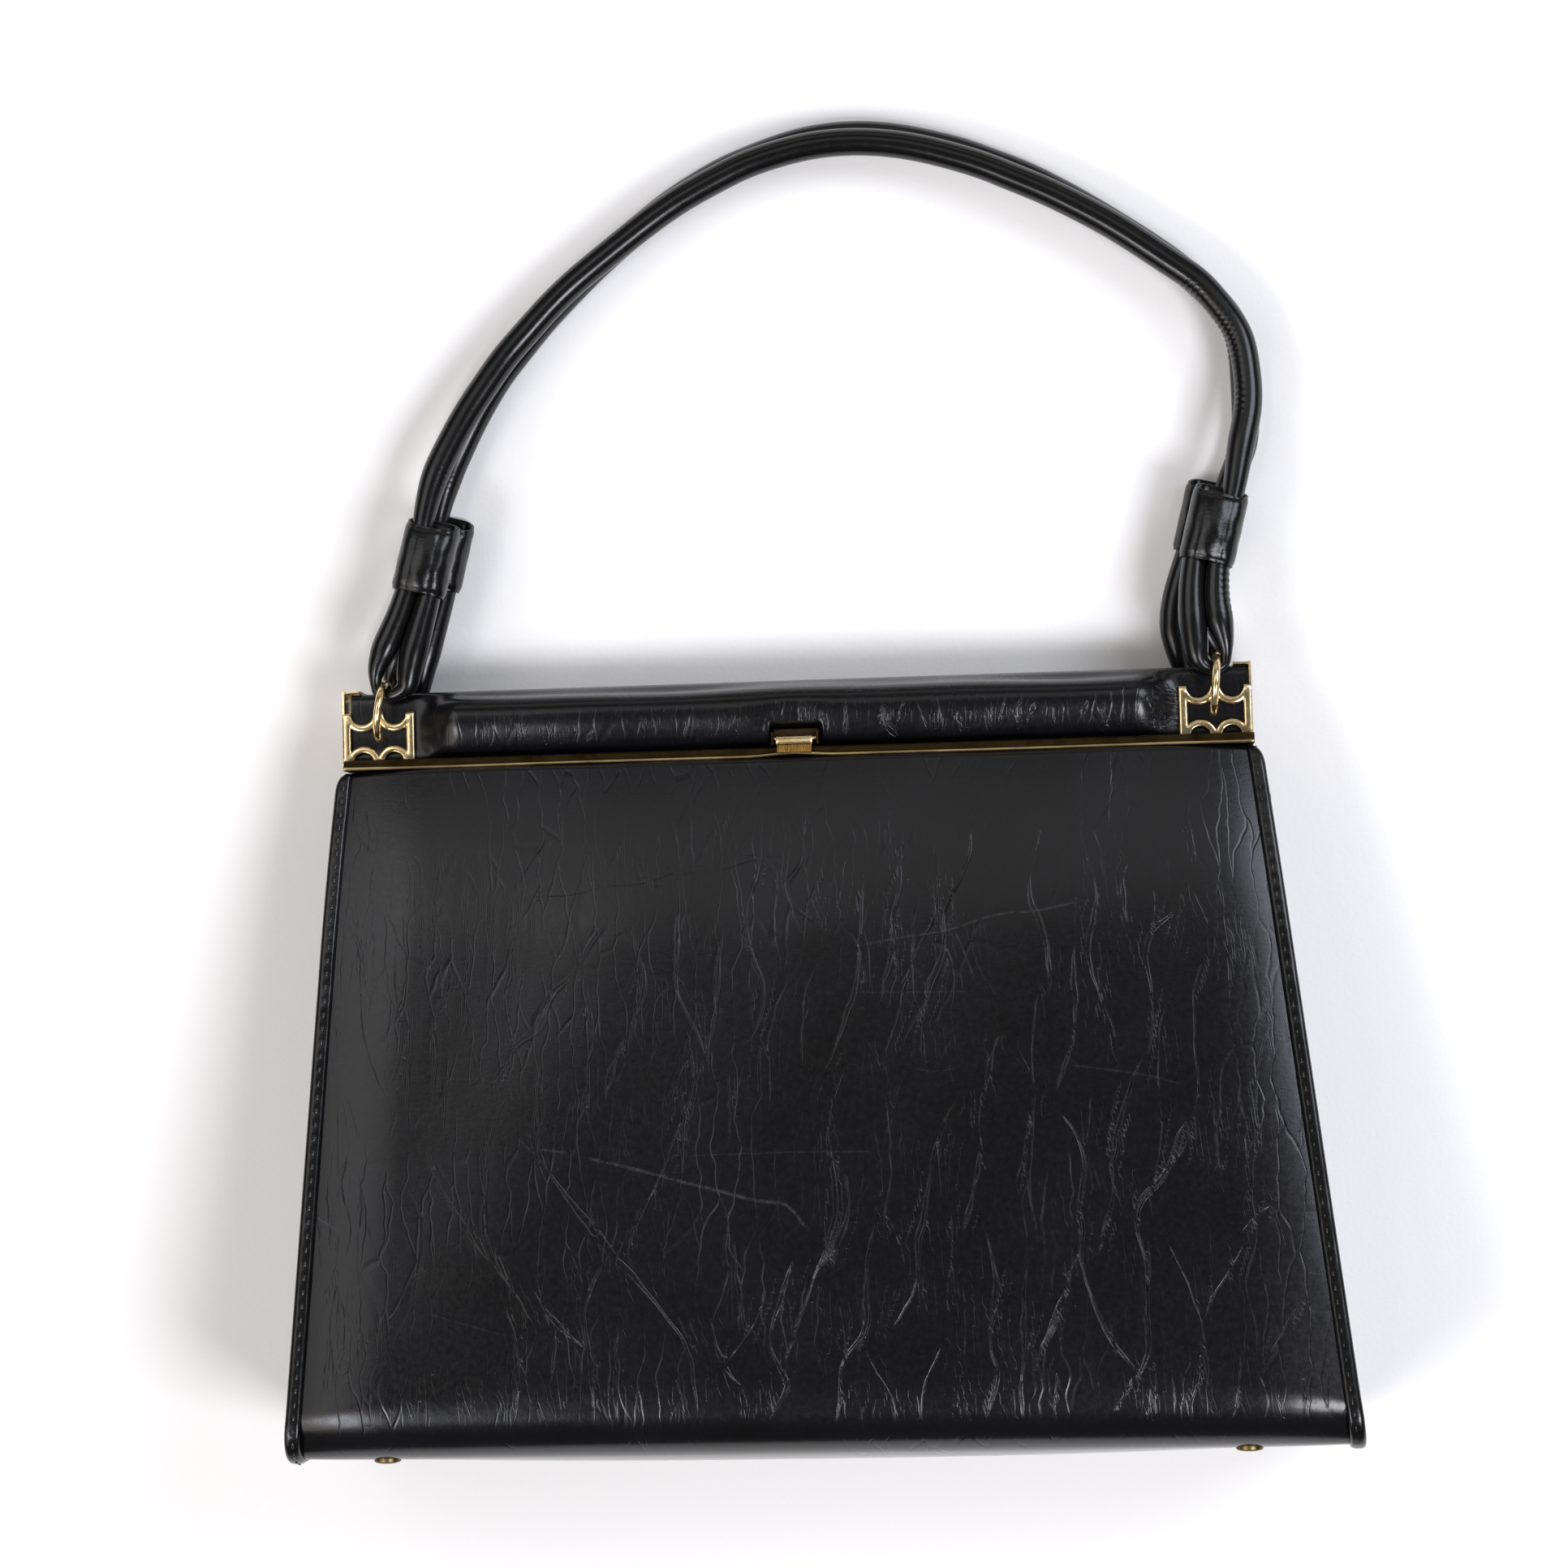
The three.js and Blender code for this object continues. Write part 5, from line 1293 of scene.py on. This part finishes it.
def keeper(name, rng):
    """The wall's own rounded section, carried round a stadium, in the keeper's axes."""
    low, top, along, wide = keeper_axes(name)
    out = np.cross(along, wide)
    out = out * np.sign(out[2])
    length = np.linalg.norm(top - low)
    u = np.linspace(0, 1, 120, endpoint=False)
    straight = 2 * (KEEPER_W - KEEPER_T)
    total = 2 * straight + 2 * np.pi * KEEPER_T
    print(f"keeper_{name}: strip {total:.0f} mm round, {length:.0f} mm tall")
    s = u * total
    arc = np.pi * KEEPER_T
    runs = [s < arc, s < arc + straight, s < 2 * arc + straight, s < np.inf]
    far = s - arc - straight
    half = np.full_like(s, np.pi / 2)
    angle = np.select(runs, [-np.pi / 2 + s / KEEPER_T, half, half + far / KEEPER_T, 3 * half])
    over = np.full_like(s, KEEPER_W - KEEPER_T)
    cx = np.select(runs, [over, over - (s - arc), -over, far - arc - over])
    ring_out = np.stack([np.cos(angle), np.sin(angle)], -1)
    v = np.concatenate([np.linspace(0, 1, 34), np.ones(3), np.linspace(1, 0, 14), np.zeros(3)])
    depth = np.concatenate([np.zeros(34), [0.25, 0.5, 0.75], np.ones(14), [0.75, 0.5, 0.25]])
    lip = np.sin(np.pi * np.array([0.25, 0.5, 0.75])) * 0.35
    edge = np.concatenate([np.zeros(34), lip, np.zeros(14), -lip])
    reach = (length - 1.6 * np.sin(angle))[:, None]
    v_mm = v[None] * reach + edge[None]
    top_gap = reach - v_mm
    soft = 0.4 * (bell(v_mm, 0.8) + bell(top_gap, 0.8)) * (depth < 0.1)[None]
    phase = rng.uniform(0, 6, 3)
    s = s[:, None]
    wrinkle = 0.05 * np.sin(s / 1.9 + v_mm * 1.1 + phase[0]) * bell(np.sin(s / 9 + phase[1]), 0.7)
    wrinkle += 0.03 * np.sin(s / 0.9 - v_mm * 0.8 + phase[2])
    pinch = 0.3 * bell(v_mm - length * 0.55, length * 0.3) * np.abs(np.sin(angle))[:, None] ** 6
    away = KEEPER_T - depth[None] * KEEPER_WALL - soft + (wrinkle - pinch) * (depth < 0.1)[None]
    px = cx[:, None] + away * ring_out[:, :1]
    crown = 0.7 * np.clip(ring_out[:, 1:], 0, 1) * (1 - (cx / (KEEPER_W - KEEPER_T)) ** 2)[:, None]
    barrel = 1.5 * np.clip(ring_out[:, 1:], 0, 1) * (1 - (2 * v - 1) ** 2)[None]
    pz = away * ring_out[:, 1:] + crown + barrel
    points = low + v_mm[..., None] * along + px[..., None] * wide + pz[..., None] * out
    return points.reshape(-1, 3), [grid(120, len(v), True, True)]


for seed, (face, side) in enumerate(CORNERS):
    name = f"{face}_{side}"
    band = keeper(name, np.random.default_rng(50 + seed))
    put(f"keeper_{name}_band", band, STRIP, [f"keeper_{name}"])

# %% [markdown]
# ## Stage
# A plain pale table with a very fine tooth. The window at the lower right and the skylight at the upper
# right are the main lights. On the left a diffuser, a wall and a lamp fill the shadows and give the black
# leather its broad sheen; a ceiling panel and a low light behind the handles show in the rolls.

# %% Table and light
table_mesh = bpy.data.meshes.new("table")
REACH, DROP = 3, -0.0003
corners = [(-REACH, -REACH, DROP), (REACH, -REACH, DROP), (REACH, REACH, DROP), (-REACH, REACH, DROP)]
table_mesh.from_pydata(corners, [], [(0, 1, 2, 3)])
table = bpy.data.objects.new("table", table_mesh)
bpy.context.scene.collection.objects.link(table)
paper, paper_tree, paper_shader, paper_place = start_finish("pale table", Roughness=0.85)
paper_shader.inputs["Base Color"].default_value = colour("fbfaf8")
tooth = noise(paper_tree, paper_place, 1.6, 4.0, 0.6)
paper_relief = add(paper_tree, "Bump", {"Height": tooth, "Strength": 0.25, "Distance": 0.0005})
paper_tree.links.new(paper_relief.outputs[0], paper_shader.inputs["Normal"])
table_mesh.materials.append(paper)


def soft_light(name, place, aim, size, power, tint):
    """A rectangular area light at a place, turned to face its aim, in metres and watts."""
    lamp = bpy.data.lights.new(name, "AREA")
    lamp.shape = "RECTANGLE"
    lamp.size, lamp.size_y = size
    lamp.energy = power
    lamp.color = colour(tint)[:3]
    holder = bpy.data.objects.new(name, lamp)
    holder.location = place
    holder.rotation_euler = (Vector(aim) - Vector(place)).to_track_quat("-Z", "Y").to_euler()
    bpy.context.scene.collection.objects.link(holder)


soft_light("window", (0.58, -0.30, 1.12), (0, 0.05, 0), (0.4, 0.4), 9.5, "f6f7ff")
soft_light("skylight", (1.0, 0.7, 1.05), (0, 0.05, 0), (0.7, 0.7), 10, "eaf0ff")
soft_light("ceiling", (-0.1, 0.85, 1.3), (0, 0.1, 0), (1.2, 0.5), 1.3, "fcfaf8")
soft_light("diffuser", (-0.86, 0.6, 1.25), (-0.25, 0.15, 0), (0.8, 0.9), 3.6, "faf8fa")
soft_light("wall", (-1.15, -0.5, 1.35), (-0.1, 0, 0), (1.2, 1.0), 9, "fff4e6")
soft_light("lamp", (-0.58, -0.36, 1.2), (-0.1, -0.05, 0), (0.4, 0.25), 4.2, "eef2ff")
soft_light("back", (0, 1.6, 0.6), (0, 0.1, 0), (1.6, 0.5), 1.5, "fff6ea")
sky = bpy.data.worlds.new("sky")
sky.use_nodes = True
sky.node_tree.nodes["Background"].inputs["Color"].default_value = colour("fff9f0")
sky.node_tree.nodes["Background"].inputs["Strength"].default_value = 0.1
bpy.context.scene.world = sky
bpy.context.scene.view_settings.view_transform = "Standard"
